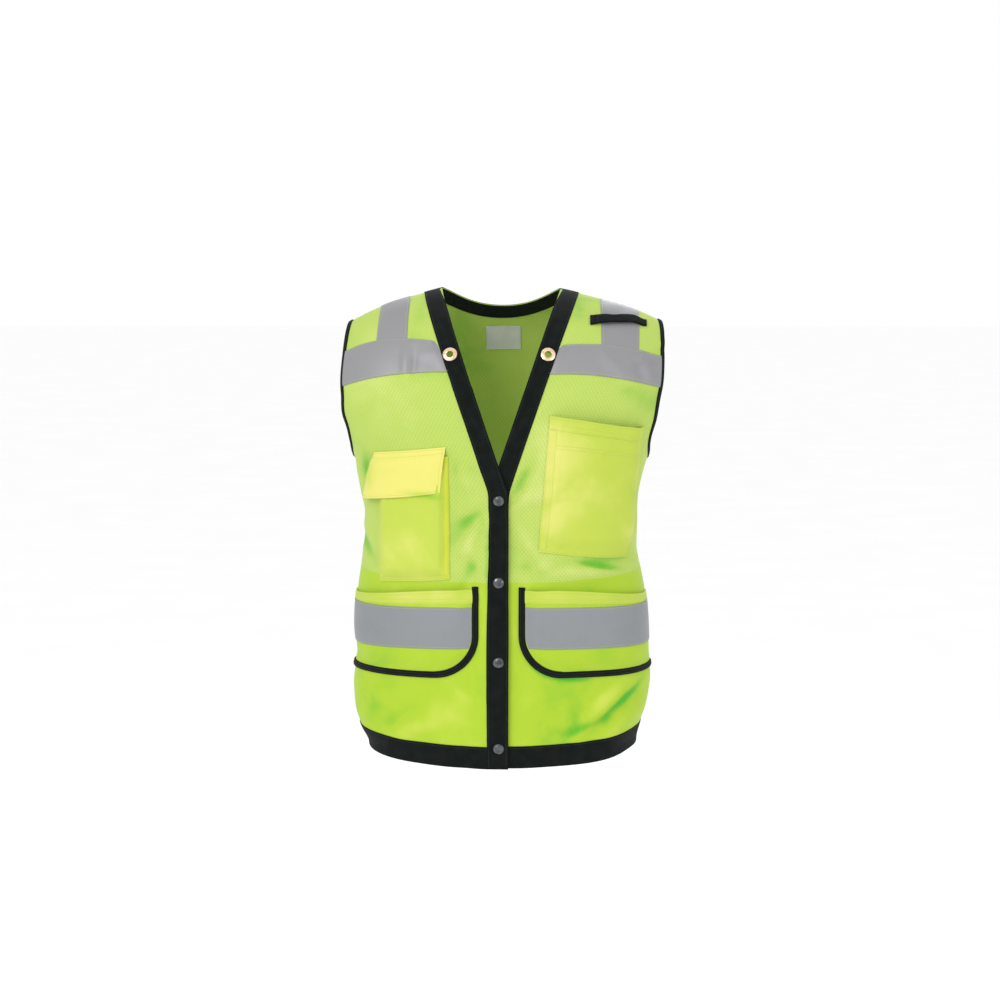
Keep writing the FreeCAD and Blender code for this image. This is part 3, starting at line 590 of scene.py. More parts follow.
def line_near(spots, off, side, inset, trim=1.5):
    """Line on a piece's outside at a distance from one side, with the normals there and its bare ends."""
    outer = spots.lift(off + np.zeros(spots.point.shape[:2]))
    normal = spots.normal
    gap = spots.gap(side)
    if side in ("low", "high"):
        outer, normal, gap = outer.swapaxes(0, 1), normal.swapaxes(0, 1), gap.T
    if side in ("high", "outer"):
        outer, normal, gap = outer[:, ::-1], normal[:, ::-1], gap[:, ::-1]
    line = np.stack([sampled(inset, g, p) for g, p in zip(gap, outer)])
    normals = np.stack([sampled(inset, g, n) for g, n in zip(gap, normal)])
    return line, normals, trim


STITCH_PITCH = 3.0
STITCH_LENGTH = 2.35
STITCH_RADIUS = 0.27
STITCH_SIDES = 6


def stitch_shape():
    """One stitch along X: a small bead with tapered ends that dip into the cloth."""
    turns = np.arange(STITCH_SIDES) * 2 * math.pi / STITCH_SIDES
    points = [(-0.5 * STITCH_LENGTH, 0, -0.2)]
    for station, share, sink in ((-0.33, 0.85, -0.02), (0.0, 1.0, 0.06), (0.33, 0.85, -0.02)):
        for turn in turns:
            points.append((station * STITCH_LENGTH, STITCH_RADIUS * share * math.cos(turn),
                           STITCH_RADIUS * share * math.sin(turn) + sink))
    points.append((0.5 * STITCH_LENGTH, 0, -0.2))
    faces = []
    last = len(points) - 1
    for k in range(STITCH_SIDES):
        after = (k + 1) % STITCH_SIDES
        faces.append((0, 1 + after, 1 + k))
        faces.append((last, last - STITCH_SIDES + k, last - STITCH_SIDES + after))
        for ring in range(2):
            base = 1 + ring * STITCH_SIDES
            faces.append((base + k, base + after, base + after + STITCH_SIDES, base + k + STITCH_SIDES))
    return np.array(points), faces


def stitches(name, rows):
    """One mesh of all the stitches along rows of ((line, normals, trim), thread)."""
    shape, shape_faces = stitch_shape()
    points, faces, chosen, materials = [], [], [], []
    for (line, normals, trim), material in rows:
        if material not in materials:
            materials.append(material)
        run = np.concatenate([[0], np.cumsum(np.linalg.norm(np.diff(line, axis=0), axis=1))])
        count = int((run[-1] - 2 * trim) / STITCH_PITCH)
        if count < 1:
            continue
        spare = run[-1] - 2 * trim - (count - 1) * STITCH_PITCH
        middle = trim + spare / 2 + np.arange(count) * STITCH_PITCH
        start, centre, end = (sampled(middle + shift, run, line) for shift in (-0.6, 0, 0.6))
        up = sampled(middle, run, normals)
        ahead = end - start
        ahead /= np.linalg.norm(ahead, axis=1, keepdims=True)
        aside = np.cross(up, ahead)
        aside /= np.linalg.norm(aside, axis=1, keepdims=True)
        up = np.cross(ahead, aside)
        beads = sum(shape[None, :, k:k + 1] * axis[:, None] for k, axis in enumerate((ahead, aside, up)))
        for piece in centre[:, None] + beads:
            first = len(points) * len(shape)
            faces += [tuple(first + k for k in face) for face in shape_faces]
            points.append(piece)
        chosen += [materials.index(material)] * (count * len(shape_faces))
    return make_object(name, np.concatenate(points), faces, materials, chosen=chosen, sharp=80)


# Materials

LIGHT = 1.5  # how much brighter than its own colour the lit cloth comes out


def shade(red, green, blue, light=LIGHT):
    """Surface colour that looks like an sRGB colour under the studio light."""
    values = np.array([red, green, blue]) / 255
    linear = np.where(values <= 0.04045, values / 12.92, ((values + 0.055) / 1.055) ** 2.4)
    return (*(linear / light).tolist(), 1.0)


class Paint:
    """A material with its Principled shader, and short ways to add nodes to it."""

    def __init__(self, name, **sockets):
        self.material = bpy.data.materials.new(name)
        self.material.use_nodes = True
        self.tree = self.material.node_tree
        self.shader = self.tree.nodes["Principled BSDF"]
        for socket, value in sockets.items():
            self.shader.inputs[socket.replace("_", " ")].default_value = value

    def node(self, kind, *inputs, out=0, **settings):
        node = self.tree.nodes.new("ShaderNode" + kind)
        for key, value in settings.items():
            setattr(node, key, value)
        for socket, value in zip(node.inputs, inputs):
            if isinstance(value, bpy.types.NodeSocket):
                self.tree.links.new(value, socket)
            elif value is not None:
                socket.default_value = value
        return node.outputs[out]

    def math(self, operation, a, b=None):
        return self.node("Math", a, b, operation=operation)

    def times(self, a, b):
        return self.math("MULTIPLY", a, b)

    def plus(self, a, b):
        return self.math("ADD", a, b)

    def blend(self, share, a, b):
        """Mix of two colours."""
        return self.node("Mix", share, None, None, None, None, None, a, b, out=2, data_type="RGBA")

    def noise(self, place, scale, detail=3.0):
        return self.node("TexNoise", place, None, scale, detail)

    def span(self, value, low, high, to_low=0.0, to_high=1.0):
        """A value's range turned into another one, clamped and eased."""
        return self.node("MapRange", value, low, high, to_low, to_high, interpolation_type="SMOOTHSTEP")

    def wave(self, value, period):
        """Cosine of a distance in metres with a period in millimetres."""
        return self.math("COSINE", self.times(value, 2000 * math.pi / period))

    def tone(self):
        """The painted light that a mesh carries: painted highlight on fold ridges, painted shade in hollows
        and the listed strokes.
        """
        return self.node("Attribute", attribute_name="tone", out=2)

    def cloth_place(self):
        """Places along the cloth in metres: the vector, and its two parts."""
        uv = self.node("UVMap", uv_map="cloth")
        split = self.tree.nodes.new("ShaderNodeSeparateXYZ")
        self.tree.links.new(uv, split.inputs[0])
        return uv, split.outputs[0], split.outputs[1]

    def finish(self, colour=None, height=None, distance=0.0002, strength=0.5):
        if colour is not None:
            self.tree.links.new(colour, self.shader.inputs["Base Color"])
        if height is not None:
            bump = self.tree.nodes.new("ShaderNodeBump")
            bump.inputs["Strength"].default_value = strength
            bump.inputs["Distance"].default_value = distance
            self.tree.links.new(height, bump.inputs["Height"])
            self.tree.links.new(bump.outputs[0], self.shader.inputs["Normal"])
        return self.material


PAINTED_GLOW = (0.22, 0.62, 0.03, 1.0)  # painted glow: a steady green light of the cloth's own, standing in for fluorescence, that keeps its shade green


def fluorescent(name, base, pale, deep, knit):
    """Fluorescent polyester: an open diamond knit, or a close fine weave, with a painted glow, painted
    highlights and painted shade.
    """
    # The emission is a painted glow that keeps the shaded cloth green.
    paint = Paint(name, Roughness=0.82, Specular_IOR_Level=0.25, Sheen_Weight=0.12, Sheen_Roughness=0.4,
                  Emission_Color=PAINTED_GLOW, Emission_Strength=0.05)
    uv, across, up = paint.cloth_place()
    tone = paint.tone()
    cloudy = paint.noise(uv, 26.0)
    # Random cloudy mottle is added to the painted light.
    tone = paint.plus(tone, paint.span(cloudy, 0.3, 0.7, -0.16, 0.16))
    # pale is the painted highlight on fold ridges, deep the painted shade, greener, in hollows and under the
    # listed strokes.
    colour = paint.blend(paint.span(tone, 0.0, 1.0), shade(*base), shade(*pale))
    colour = paint.blend(paint.span(tone, -1.0, 0.0, 1.0, 0.0), colour, shade(*deep))
    fuzz = paint.noise(uv, 1500.0, 2.0)
    if knit:
        lattice = paint.times(paint.wave(across, 4.6), paint.wave(up, 5.4))
        hole = paint.span(lattice, 0.25, 0.8)
        # The knit's holes are painted darker green, a painted shade standing in for the dim cloth seen
        # through them.
        colour = paint.blend(paint.times(hole, 0.3), colour, shade(132, 186, 58))
        thread = paint.times(paint.wave(across, 1.15), 0.12)
        height = paint.math("SUBTRACT", paint.plus(thread, paint.times(fuzz, 0.3)), hole)
        return paint.finish(colour, height, 0.0004, 0.55)
    twill = paint.wave(paint.plus(across, paint.times(up, 0.8)), 0.9)
    height = paint.plus(paint.times(twill, 0.25), fuzz)
    return paint.finish(colour, height, 0.00018, 0.4)


def reflective(name, colour, dark):
    """Retroreflective tape: silver cloth covered with fine glass beads."""
    paint = Paint(name, Roughness=0.48, Metallic=0.25, Specular_IOR_Level=0.35)
    uv, across, up = paint.cloth_place()
    beads = paint.noise(uv, 3800.0, 1.0)
    weave = paint.times(paint.wave(across, 0.8), paint.wave(up, 0.8))
    rubbed = paint.noise(uv, 34.0)
    tone = paint.tone()
    # Painted shade darkens the tape toward dark in fold hollows and creases; the rubbed patches are random.
    shift = paint.plus(paint.times(tone, -0.35), paint.span(rubbed, 0.35, 0.75, 0.0, 0.3))
    mottle_and_shade = paint.blend(paint.span(shift, 0.0, 1.0), shade(*colour), shade(*dark))
    # The beads get painted glints, a lighter grey.
    mottle_and_shade = paint.blend(paint.span(beads, 0.45, 0.6, 0.0, 0.12), mottle_and_shade, shade(205, 205, 208))
    height = paint.plus(beads, paint.times(weave, 0.35))
    return paint.finish(mottle_and_shade, height, 0.00012, 0.4)


def woven_tape(name, dark, pale, period, depth):
    """Woven tape with ribs across it."""
    paint = Paint(name, Roughness=0.85, Specular_IOR_Level=0.1, Sheen_Weight=0.02)
    uv, across, up = paint.cloth_place()
    ribs = paint.wave(up, period)
    threads = paint.times(paint.wave(across, period * 0.6), ribs)
    worn_spots = paint.noise(uv, 60.0)
    colour = paint.blend(paint.span(worn_spots, 0.3, 0.8), shade(*dark), shade(*pale))
    # The raised threads get a painted sheen, a lighter copy of the pale colour.
    colour = paint.blend(paint.span(threads, -0.2, 1.0, 0.0, 0.4), colour, shade(*[c * 1.35 for c in pale]))
    height = paint.plus(ribs, paint.times(threads, 0.5))
    return paint.finish(colour, height, depth, 0.5)


def metal(name, colour, dull, roughness):
    """Pressed metal with fine scratches and slightly duller patches."""
    paint = Paint(name, Metallic=1.0, Roughness=roughness)
    place = paint.node("TexCoord", out=3)
    scratches = paint.noise(place, 900.0, 4.0)
    patches = paint.noise(place, 180.0)
    mottle_and_shade = paint.blend(paint.span(patches, 0.35, 0.75), shade(*colour, 1.0), shade(*dull, 1.0))
    paint.tree.links.new(paint.span(scratches, 0.3, 0.7, roughness * 0.7, roughness * 1.5),
                         paint.shader.inputs["Roughness"])
    return paint.finish(mottle_and_shade, scratches, 0.00003, 0.3)


def thread(name, colour):
    """Sewing thread, twisted."""
    paint = Paint(name, Roughness=0.6, Specular_IOR_Level=0.3, Sheen_Weight=0.1)
    place = paint.node("TexCoord", out=3)
    twist = paint.noise(place, 2500.0, 2.0)
    colour = paint.blend(paint.span(twist, 0.3, 0.7), shade(*colour), shade(*[c * 0.86 for c in colour]))
    return paint.finish(colour, twist, 0.0001, 0.5)


def hook_cloth(name, colour):
    """Hook and loop tape: a close pile of tiny hooks."""
    paint = Paint(name, Roughness=0.9, Sheen_Weight=0.2)
    uv, across, up = paint.cloth_place()
    pile = paint.times(paint.wave(across, 1.3), paint.wave(up, 1.3))
    fuzz = paint.noise(uv, 1800.0, 2.0)
    # Painted shade darkens the hollows between the hooks.
    mottle_and_shade = paint.blend(paint.span(pile, -0.5, 0.8), shade(*[c * 0.72 for c in colour]), shade(*colour))
    return paint.finish(mottle_and_shade, paint.plus(pile, fuzz), 0.0005, 0.6)


def plain_surface(name, colour, scale, roughness):
    """Matt surface with faint soft patches."""
    paint = Paint(name, Roughness=roughness)
    place = paint.node("TexCoord", out=3)
    grain = paint.noise(place, scale)
    mottle_and_shade = paint.blend(paint.span(grain, 0.3, 0.7), colour, tuple(c * 0.985 for c in colour[:3]) + (1.0,))
    return paint.finish(mottle_and_shade, grain, 0.0001, 0.1)


# The second colour of each fluorescent cloth is its painted highlight and the third its painted shade.
MESH = fluorescent("lime_mesh", (203, 226, 108), (226, 238, 138), (112, 196, 52), True)
LIME = fluorescent("lime_weave", (189, 221, 54), (219, 234, 92), (84, 190, 44), False)
YELLOW = fluorescent("yellow_weave", (208, 226, 86), (244, 242, 132), (142, 204, 48), False)
PALE = fluorescent("pale_yellow_weave", (252, 243, 130), (255, 249, 152), (208, 228, 90), False)
SLEEVE = fluorescent("bright_yellow_weave", (218, 226, 70), (240, 236, 98), (160, 208, 50), False)
# The second colour of a reflective tape is its painted shade in creases, and also the colour of its random
# rubbed patches.
TAPE = reflective("reflective_tape", (162, 162, 165), (138, 138, 146))
WAIST_TAPE = reflective("reflective_waist_tape", (154, 158, 162), (138, 143, 147))
BLACK = woven_tape("black_binding", (10, 17, 15), (25, 32, 29), 0.9, 0.00022)
WEBBING = woven_tape("black_webbing", (8, 14, 13), (22, 29, 27), 1.5, 0.0005)
BRASS = metal("brass", (247, 224, 190), (224, 186, 146), 0.2)
GUNMETAL = metal("gunmetal", (100, 103, 105), (70, 72, 74), 0.22)
BLACK_THREAD = thread("black_thread", (44, 48, 48))
LIME_THREAD = thread("lime_thread", (226, 238, 120))
GREY_THREAD = thread("grey_thread", (214, 226, 138))
HOOKS = hook_cloth("hook_and_loop", (206, 224, 110))
LABEL = woven_tape("white_label", (225, 226, 224), (240, 240, 238), 0.7, 0.0001)


# Looks: the materials of a piece, its slot, and the thread that sews it on

PANEL_LOOK = ([LIME, MESH], "lime_cloth", LIME_THREAD)
LIME_LOOK = ([LIME], "lime_cloth", LIME_THREAD)
LOWER_HEM_LOOK = ([YELLOW], "lime_cloth", LIME_THREAD)
YELLOW_LOOK = ([YELLOW], "yellow_cloth", LIME_THREAD)
SLEEVE_LOOK = ([SLEEVE], "yellow_cloth", LIME_THREAD)
FLAP_LOOK = ([PALE], "yellow_cloth", LIME_THREAD)
HOOK_LOOK = ([HOOKS], "yellow_cloth", LIME_THREAD)
LOOP_LOOK = ([HOOKS], "hook_and_loop", LIME_THREAD)
TAPE_LOOK = ([TAPE], "reflective_tape", GREY_THREAD)
WAIST_TAPE_LOOK = ([WAIST_TAPE], "reflective_tape", GREY_THREAD)
BLACK_LOOK = ([BLACK], "black_binding", BLACK_THREAD)
WEBBING_LOOK = ([WEBBING], "black_webbing", BLACK_THREAD)
LABEL_LOOK = ([LABEL], "white_cloth", GREY_THREAD)

SIDES = ["inner", "outer"]
ENDS = ["low", "high"]


class Sewn:
    """Pieces that are carried alike, and the rows of stitches that hold them."""

    def __init__(self):
        self.rows = []

    def piece(self, name, spots, low, high, look, nodes=(), seams=(), tuck=0.0, **cells):
        """A slab in place of CAD nodes. Seams are a side, the distance from it and perhaps a trim."""
        materials, slot, thread = look
        made = slab(name, spots, low, high - tuck, materials, **cells)
        self.rows += [(line_near(spots, high, *seam), thread) for seam in seams]
        return self.place(made, slot, *nodes)

    def place(self, made, slot, *nodes):
        self.carry(made)
        if nodes:
            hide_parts(*nodes)
        return made

    def stitching(self, name, slot="black_binding"):
        return self.place(stitches(name, self.rows), slot)


# Shapes shared by both fronts, in the left one's coordinates

PANEL_TALL = 660.0  # longest way up a panel, along the cloth
MESH_START = 226.0  # close weave below, open mesh above
HEM_RISE = 9.5  # at the side seams
BAND_UNDER = 0.6  # how far the bands reach below the cloth
BAND_SEAM = 2.3
NECK_HALF, NECK_DROP = 72.0, 89.0
LOWER_TOP, LOWER_TOP_FALL = 219.0, 17.0
LOWER_BOTTOM, LOWER_BOTTOM_FALL = 118.0, 4.0
LOWER_INNER_X = 31.0
LOWER_CORNER = 46.0
LOWER_DEPTH = 5.2
LOWER_HEM_SEAMS = [("low", 1.8), ("low", 5.0), ("high", 3.0)]
TAPE_WIDTH = 50.0
WAIST_TAPE_BOTTOM, WAIST_TAPE_FALL = 148.0, 6.0
# Bottom and top edge of each chest tape: height of the crest, bend, x of the crest, height where x is taken
CHEST_TAPES = {"left": ((477.5, 0.0013, 75.0, 480.0), (511.5, 0.0016, 95.0, 520.0)),
               "right": ((480.0, 0.0012, 65.0, 480.0), (517.5, 0.0021, 105.0, 520.0))}


def side_share(phi):
    """0 at the centre and 1 at the side seams."""
    return np.cos(np.radians(phi)) ** 2


def hem_height(phi):
    return HEM_RISE * side_share(phi)


def band_low(phi):
    return hem_height(phi) - BAND_UNDER


def hem_band_high(phi):
    return hem_height(phi) + HEM_HEIGHT


def ridge(phi):
    return RIDGE + 0 * phi


def edge_x(t):
    """x of a front's free edge: a straight lap, then the V of the neck."""
    return -BAND_WIDTH / 2 + 0.345 * soft_ramp(level(t) - 337.0, 6.0)


def free_edge(inset):
    return lambda t: phi_of(edge_x(t) + inset, t)


def arm_edge(inset):
    """Angle of the armhole edge or side seam, set back by inset millimetres round the body."""
    return lambda t: arm_angle(t) + np.degrees(inset / half_width(level(t))) * 1.4


def arched(crest, bend, crest_x, at_height):
    """Edge of a chest tape, an arch seen from the front."""
    def edge(phi):
        x = np.abs(worn(phi, at_height, FRONT)[..., 0])
        return t_at(phi, crest - bend * (x - crest_x) ** 2)
    return edge


def lower_top(phi):
    return LOWER_TOP - LOWER_TOP_FALL * side_share(phi)


def lower_bottom(phi):
    return LOWER_BOTTOM - LOWER_BOTTOM_FALL * side_share(phi)


def lower_hem_low(phi):
    return lower_top(phi) - mix(16.0, 9.5, side_share(phi))


def waist_tape_low(phi):
    return WAIST_TAPE_BOTTOM - WAIST_TAPE_FALL * side_share(phi)


def waist_tape_high(phi):
    return waist_tape_low(phi) + TAPE_WIDTH


def lower_inner_x(t):
    """x of a lower pocket's inner edge, with its rounded bottom corner."""
    below = np.clip(LOWER_BOTTOM + LOWER_CORNER - t, 0, LOWER_CORNER * 0.9999)
    return LOWER_INNER_X + LOWER_CORNER - np.sqrt(LOWER_CORNER**2 - below**2)


def lower_rise(spots):
    """Stand-off of the inside of a lower pocket over the worn shape."""
    x, y, h = np.abs(spots.point[..., 0]), spots.point[..., 1], spots.point[..., 2]
    inner = ease((x - lower_inner_x(h)) / 17)
    outer = ease((-y - 3) / 80)
    return PANEL + POCKET_GAP + LOWER_DEPTH * inner * outer * ease((h - lower_bottom(spots.phi)) / 24)


class Front(Sewn):
    """Pieces of one front, each baked in place as worn, from the shoulder and side seam to the free front
    edge.
    """

    def __init__(self, side):
        super().__init__()
        self.side = side

    def name(self, piece):
        return self.side + "_" + piece

    def carry(self, made):
        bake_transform(made)

    def own(self, piece, spots, low, high, look, nodes, *seams, **more):
        """A piece whose name begins with the side, like those of its nodes."""
        nodes = [self.name(node) for node in nodes]
        return self.piece(self.name(piece), spots, low, high, look, nodes, seams, **more)

    def spots(self, low, high, inner, outer, q, s):
        """Spots of a patch described for the wearer's left front, mirrored for the right one."""
        phi, t = patch(low, high, inner, outer, q, s)
        return Spots(phi if self.side == "left" else 180 - phi, t, FRONT)

    def lower_spots(self, low, high, q, inset=0.0):
        """Spots between two levels, from a lower pocket's inner edge to the side seam."""
        return self.spots(low, high, lambda t: phi_of(lower_inner_x(t) + inset, t), lambda t: 0.8 + 0 * t,
                          q, shares(150, 2.6))

    def lap(self, spots):
        """Stand-off of the wearer's right front where it laps over the left one."""
        if self.side == "left":
            return np.zeros(spots.point.shape[:2])
        return LAP * ease((LAP_END - np.abs(spots.point[..., 0])) / LAP_RAMP)

    def panel(self):
        q, s = shares(PANEL_TALL, 3.2), shares(250, 3.2)
        spots = self.spots(hem_height, ridge, free_edge(0.8), arm_edge(0), q, s)
        base = self.lap(spots)
        high = base + PANEL - sewn(spots, ["high", "outer"], 2.6, 0.3)
        knit = (q[:-1] * RIDGE > MESH_START).astype(int)
        return self.own("front_cloth", spots, base, high, PANEL_LOOK, ["front_panel", "front_yoke"],
                        ("high", 2.6, 25), ("outer", 2.6, 3), chosen_rows=knit, kept=clear_of_eyelets(spots))

    def band(self):
        """The black band on the lap and the V, up to the shoulder seam."""
        lap_extra = 2.4 if self.side == "right" else 0.0

        def inner(t):
            return phi_of(edge_x(t) + 4.0 * ease((t - 570) / 85), t)

        def outer(t):
            return phi_of(edge_x(t) + BAND_WIDTH + lap_extra * ease((330 - t) / 200), t)

        spots = self.spots(band_low, ridge, inner, outer, shares(PANEL_TALL, 2.6), shares(BAND_WIDTH, 1.7))
        base = self.lap(spots)
        high = base + TRIM_TOP - rounded(spots, SIDES + ["low"]) - sewn(spots, SIDES, BAND_SEAM)
        return self.own("neck_band", spots, base - 0.75, high, BLACK_LOOK, ["front_band"],
                        ("inner", BAND_SEAM), ("outer", BAND_SEAM), kept=clear_of_eyelets(spots))

    def hem(self):
        spots = self.spots(band_low, hem_band_high, free_edge(BAND_WIDTH - 0.4), arm_edge(0),
                           shares(HEM_HEIGHT, 2.2), shares(190, 3.0))
        base = self.lap(spots)
        high = base + TRIM_TOP - 0.1 - rounded(spots, ENDS) - sewn(spots, ["high"], 2.2)
        return self.own("hem_trim", spots, base - 0.7, high, BLACK_LOOK, ["hem_band"], ("high", 2.2))

    def chest_tape(self):
        """Tape across the chest, with its inner end tucked under the band."""
        bottom, top = CHEST_TAPES[self.side]
        spots = self.spots(arched(*bottom), arched(*top), free_edge(BAND_WIDTH - 4.0), arm_edge(4.0),
                           shares(46, 2.0), shares(144, 2.0))
        base = self.lap(spots)
        tuck = 1.25 * (1 - ease(spots.gap("inner") / 8))
        high = base + TRIM_TOP + 0.1 - rounded(spots, ENDS, 0.7, 0.4) - sewn(spots, ENDS)
        return self.own("chest_tape_cloth", spots, base + 0.5, high, TAPE_LOOK, ["chest_tape"],
                        ("low", 2.0), ("high", 2.0), tuck=tuck)

    def shoulder_tape(self, x_inner, x_outer):
        """Tape from under the chest tape, over the shoulder, to the tape across the back."""
        sign = 1 if self.side == "left" else -1
        x = sign * mix(x_inner, x_outer, shares(x_outer - x_inner, 2.4))[None, :]
        end = locate(x, SHOULDER_TAPE_END)[1]
        up, down = np.linspace(0, 1, 52)[:, None], np.linspace(0, 1, 56)[1:, None]
        t = np.concatenate([mix(end, RIDGE, up), mix(RIDGE, end, down)])
        face = np.concatenate([np.full(up.shape, FRONT), np.full(down.shape, BACK)])
        spots = Spots(phi_of(x + 0 * t, t), t, face)
        high = 1.7 - rounded(spots, SIDES, 0.7, 0.4) - sewn(spots, SIDES)
        return self.own("shoulder_tape_cloth", spots, 0.5, high, TAPE_LOOK, ["shoulder_tape"],
                        ("inner", 2.0), ("outer", 2.0))

    def arm_binding(self):
        """Folded binding all round the armhole."""
        climb = ARM_BOTTOM + (RIDGE - ARM_BOTTOM) * np.linspace(0, 1, 110) ** 1.6
        t = np.concatenate([climb, climb[-2::-1]])
        face = np.concatenate([np.full(len(climb), FRONT), np.full(len(climb) - 1, BACK)])
        phi = arm_angle(t)
        offsets = mix(-0.8, ARM_BINDING - 0.8, np.linspace(0, 1, 9))
        if self.side == "right":
            phi, offsets = 180 - phi, -offsets
        spots = path_spots(phi, t, face, offsets)
        soft = rounded(spots, SIDES, 1.7, 1.1)
        return self.own("arm_trim", spots, -0.9 + soft, 2.1 - soft, BLACK_LOOK,
                        ["front_arm_binding", "armhole_binding"], ("outer", 1.6))

    def lower_pocket(self):
        """A lower pocket and its folded hem."""
        turns = np.linspace(0, math.pi / 2, 26)
        corner = LOWER_BOTTOM + LOWER_CORNER * (1 - np.cos(turns))
        levels = np.concatenate([corner, np.linspace(corner[-1], LOWER_TOP, 20)[1:]])
        rows = (levels - LOWER_BOTTOM) / (LOWER_TOP - LOWER_BOTTOM)
        spots = self.lower_spots(lower_bottom, lambda phi: lower_top(phi) - 0.8, rows)
        base = self.lap(spots) + lower_rise(spots)
        pocket = self.own("lower_pocket_cloth", spots, base, base + PANEL, LIME_LOOK, ["lower_pocket"])

        spots = self.lower_spots(lower_hem_low, lower_top, np.linspace(0, 1, 10))
        base = self.lap(spots) + lower_rise(spots)
        high = base + 2 * PANEL + 0.1 - rounded(spots, ENDS, 0.8, 0.5)
        hem = self.own("lower_pocket_mouth", spots, base - 0.1, channelled(spots, high, LOWER_HEM_SEAMS),
                       LOWER_HEM_LOOK, ["lower_pocket_hem"], *LOWER_HEM_SEAMS)
        return pocket, hem

    def waist_tape(self):
        spots = self.lower_spots(waist_tape_low, waist_tape_high, shares(TAPE_WIDTH, 2.4), 1.5)
        base = self.lap(spots) + lower_rise(spots)
        high = base + PANEL + 1.0 - rounded(spots, ENDS, 0.7, 0.4) - sewn(spots, ENDS)
        return self.own("waist_tape_cloth", spots, base + 0.3, high, WAIST_TAPE_LOOK, ["waist_tape"],
                        ("low", 2.0), ("high", 2.0))

    def pocket_binding(self):
        """Rounded bias binding along the inner and bottom edge of the lower pocket."""
        out = 3.0
        turns = np.linspace(0, math.pi / 2, 40)
        corner_x, corner_h = LOWER_INNER_X + LOWER_CORNER, LOWER_BOTTOM + LOWER_CORNER
        down = np.linspace(LOWER_TOP + 3, corner_h, 22)[:-1]
        corner = (LOWER_CORNER + out) * np.array([np.cos(turns), np.sin(turns)])
        x = np.concatenate([np.full(len(down), LOWER_INNER_X - out), corner_x - corner[0]])
        h = np.concatenate([down, corner_h - corner[1]])
        phi = phi_of(x, h)
        level_part = np.linspace(phi[-1], 1.0, 60)[1:]
        t = np.concatenate([h, np.full(len(level_part), LOWER_BOTTOM - out)])
        phi = np.concatenate([phi, level_part])
        t += (lower_bottom(phi) - LOWER_BOTTOM) * ease((corner_h - t) / LOWER_CORNER)
        if self.side == "right":
            phi = 180 - phi
        offsets = np.linspace(-POCKET_BINDING / 2, POCKET_BINDING / 2, 11)
        spots = path_spots(phi, t, np.full(len(t), FRONT), offsets)
        base = self.lap(spots)
        soft = rounded(spots, SIDES, 2.6, 1.4) + rounded(spots, ENDS, 1.5, 1.0)
        return self.own("pocket_trim", spots, base + 0.5, base + 3.4 - soft, BLACK_LOOK,
                        ["lower_pocket_binding"], ("inner", 2.4), ("outer", 2.4))


# Chest pockets: corners, height and width, and the width of the slope at their sides

LEFT_SIZE = (163.0, 128.0)
LEFT_POCKET = ([(47.0, 264.0), (158.0, 250.0), (61.0, 429.0), (172.0, 412.0)], LEFT_SIZE, 15)
LEFT_LINES = (0.815, 0.79)  # shares of the height of the sewn lines below the hem
LEFT_HEM_SEAMS = [("low", 1.8), ("low", 6.0), ("high", 2.6)]
RIGHT_SIZE = (150.0, 92.0)
RIGHT_POCKET = ([(-62.0, 230.0), (-146.0, 223.0), (-62.0, 378.0), (-142.0, 372.0)], RIGHT_SIZE, 12)
CHEST_DEPTH = 7.6
PEN_SLEEVE = [(-58.5, 231.0), (-67.5, 231.0), (-60.0, 380.0), (-69.0, 380.0)]
FLAP = [(-69.0, 336.5), (-156.5, 323.5), (-63.0, 391.5), (-149.0, 381.5)]


def pocket_shares(tall, wide, q_range=(0.0, 1.0), s_range=(0.0, 1.0), pitch=2.4):
    q = mix(q_range[0], q_range[1], shares(tall * (q_range[1] - q_range[0]), pitch))
    s = mix(s_range[0], s_range[1], shares(wide * (s_range[1] - s_range[0]), pitch))
    return q, s


def chest_spots(corners, size, ramp, q, s):
    """Spots at shares q and s of a chest pocket's height and width, and the stand-off of its inside."""
    tall, wide = size
    sides = ease(s * wide / ramp) * ease((1 - s) * wide / ramp)
    rise = PANEL + POCKET_GAP + CHEST_DEPTH * ease(q * tall / (1.6 * ramp))[:, None] * sides[None, :]
    return quad(corners, q, s), rise


def left_chest_pocket(left):
    """Large open pocket with a folded hem, a sewn line below it and a folded strip along its inner edge."""
    tall, wide = LEFT_SIZE
    q, s = pocket_shares(tall, wide, (0.0, 0.985))
    spots, rise = chest_spots(*LEFT_POCKET, q, s)
    crease = 0.7 * bell((s - 0.93) * wide / 1.6) - 0.5 * bell((s - 0.905) * wide / 2.0)
    lines = sum(0.3 * bell((q - share) * tall) for share in LEFT_LINES)
    high = rise + PANEL + crease[None, :] - lines[:, None] - sewn(spots, SIDES + ["low"])
    seams = [(side, 2.0) for side in SIDES + ["low"]] + [("low", share * tall, 5) for share in LEFT_LINES]
    body = left.piece("left_chest_pocket_cloth", spots, rise, high, YELLOW_LOOK, ["left_chest_pocket"], seams)

    q, s = pocket_shares(tall, wide, (0.905, 1.0), pitch=2.0)
    spots, rise = chest_spots(*LEFT_POCKET, q, s)
    high = channelled(spots, rise + 2 * PANEL + 0.15 - rounded(spots, ENDS, 0.8, 0.5), LEFT_HEM_SEAMS)
    hem = left.piece("left_chest_pocket_mouth", spots, rise - 0.1, high, YELLOW_LOOK,
                     ["left_chest_pocket_hem"], LEFT_HEM_SEAMS)

    q, s = pocket_shares(tall, wide, (0.02, 0.9), (0.012, 0.078), 1.6)
    spots, rise = chest_spots(*LEFT_POCKET, q, s)
    high = rise + PANEL + 0.8 - rounded(spots, SIDES + ["low"], 1.0, 0.6)
    strip = left.piece("left_chest_pocket_strip", spots, rise + 0.4, high, YELLOW_LOOK)


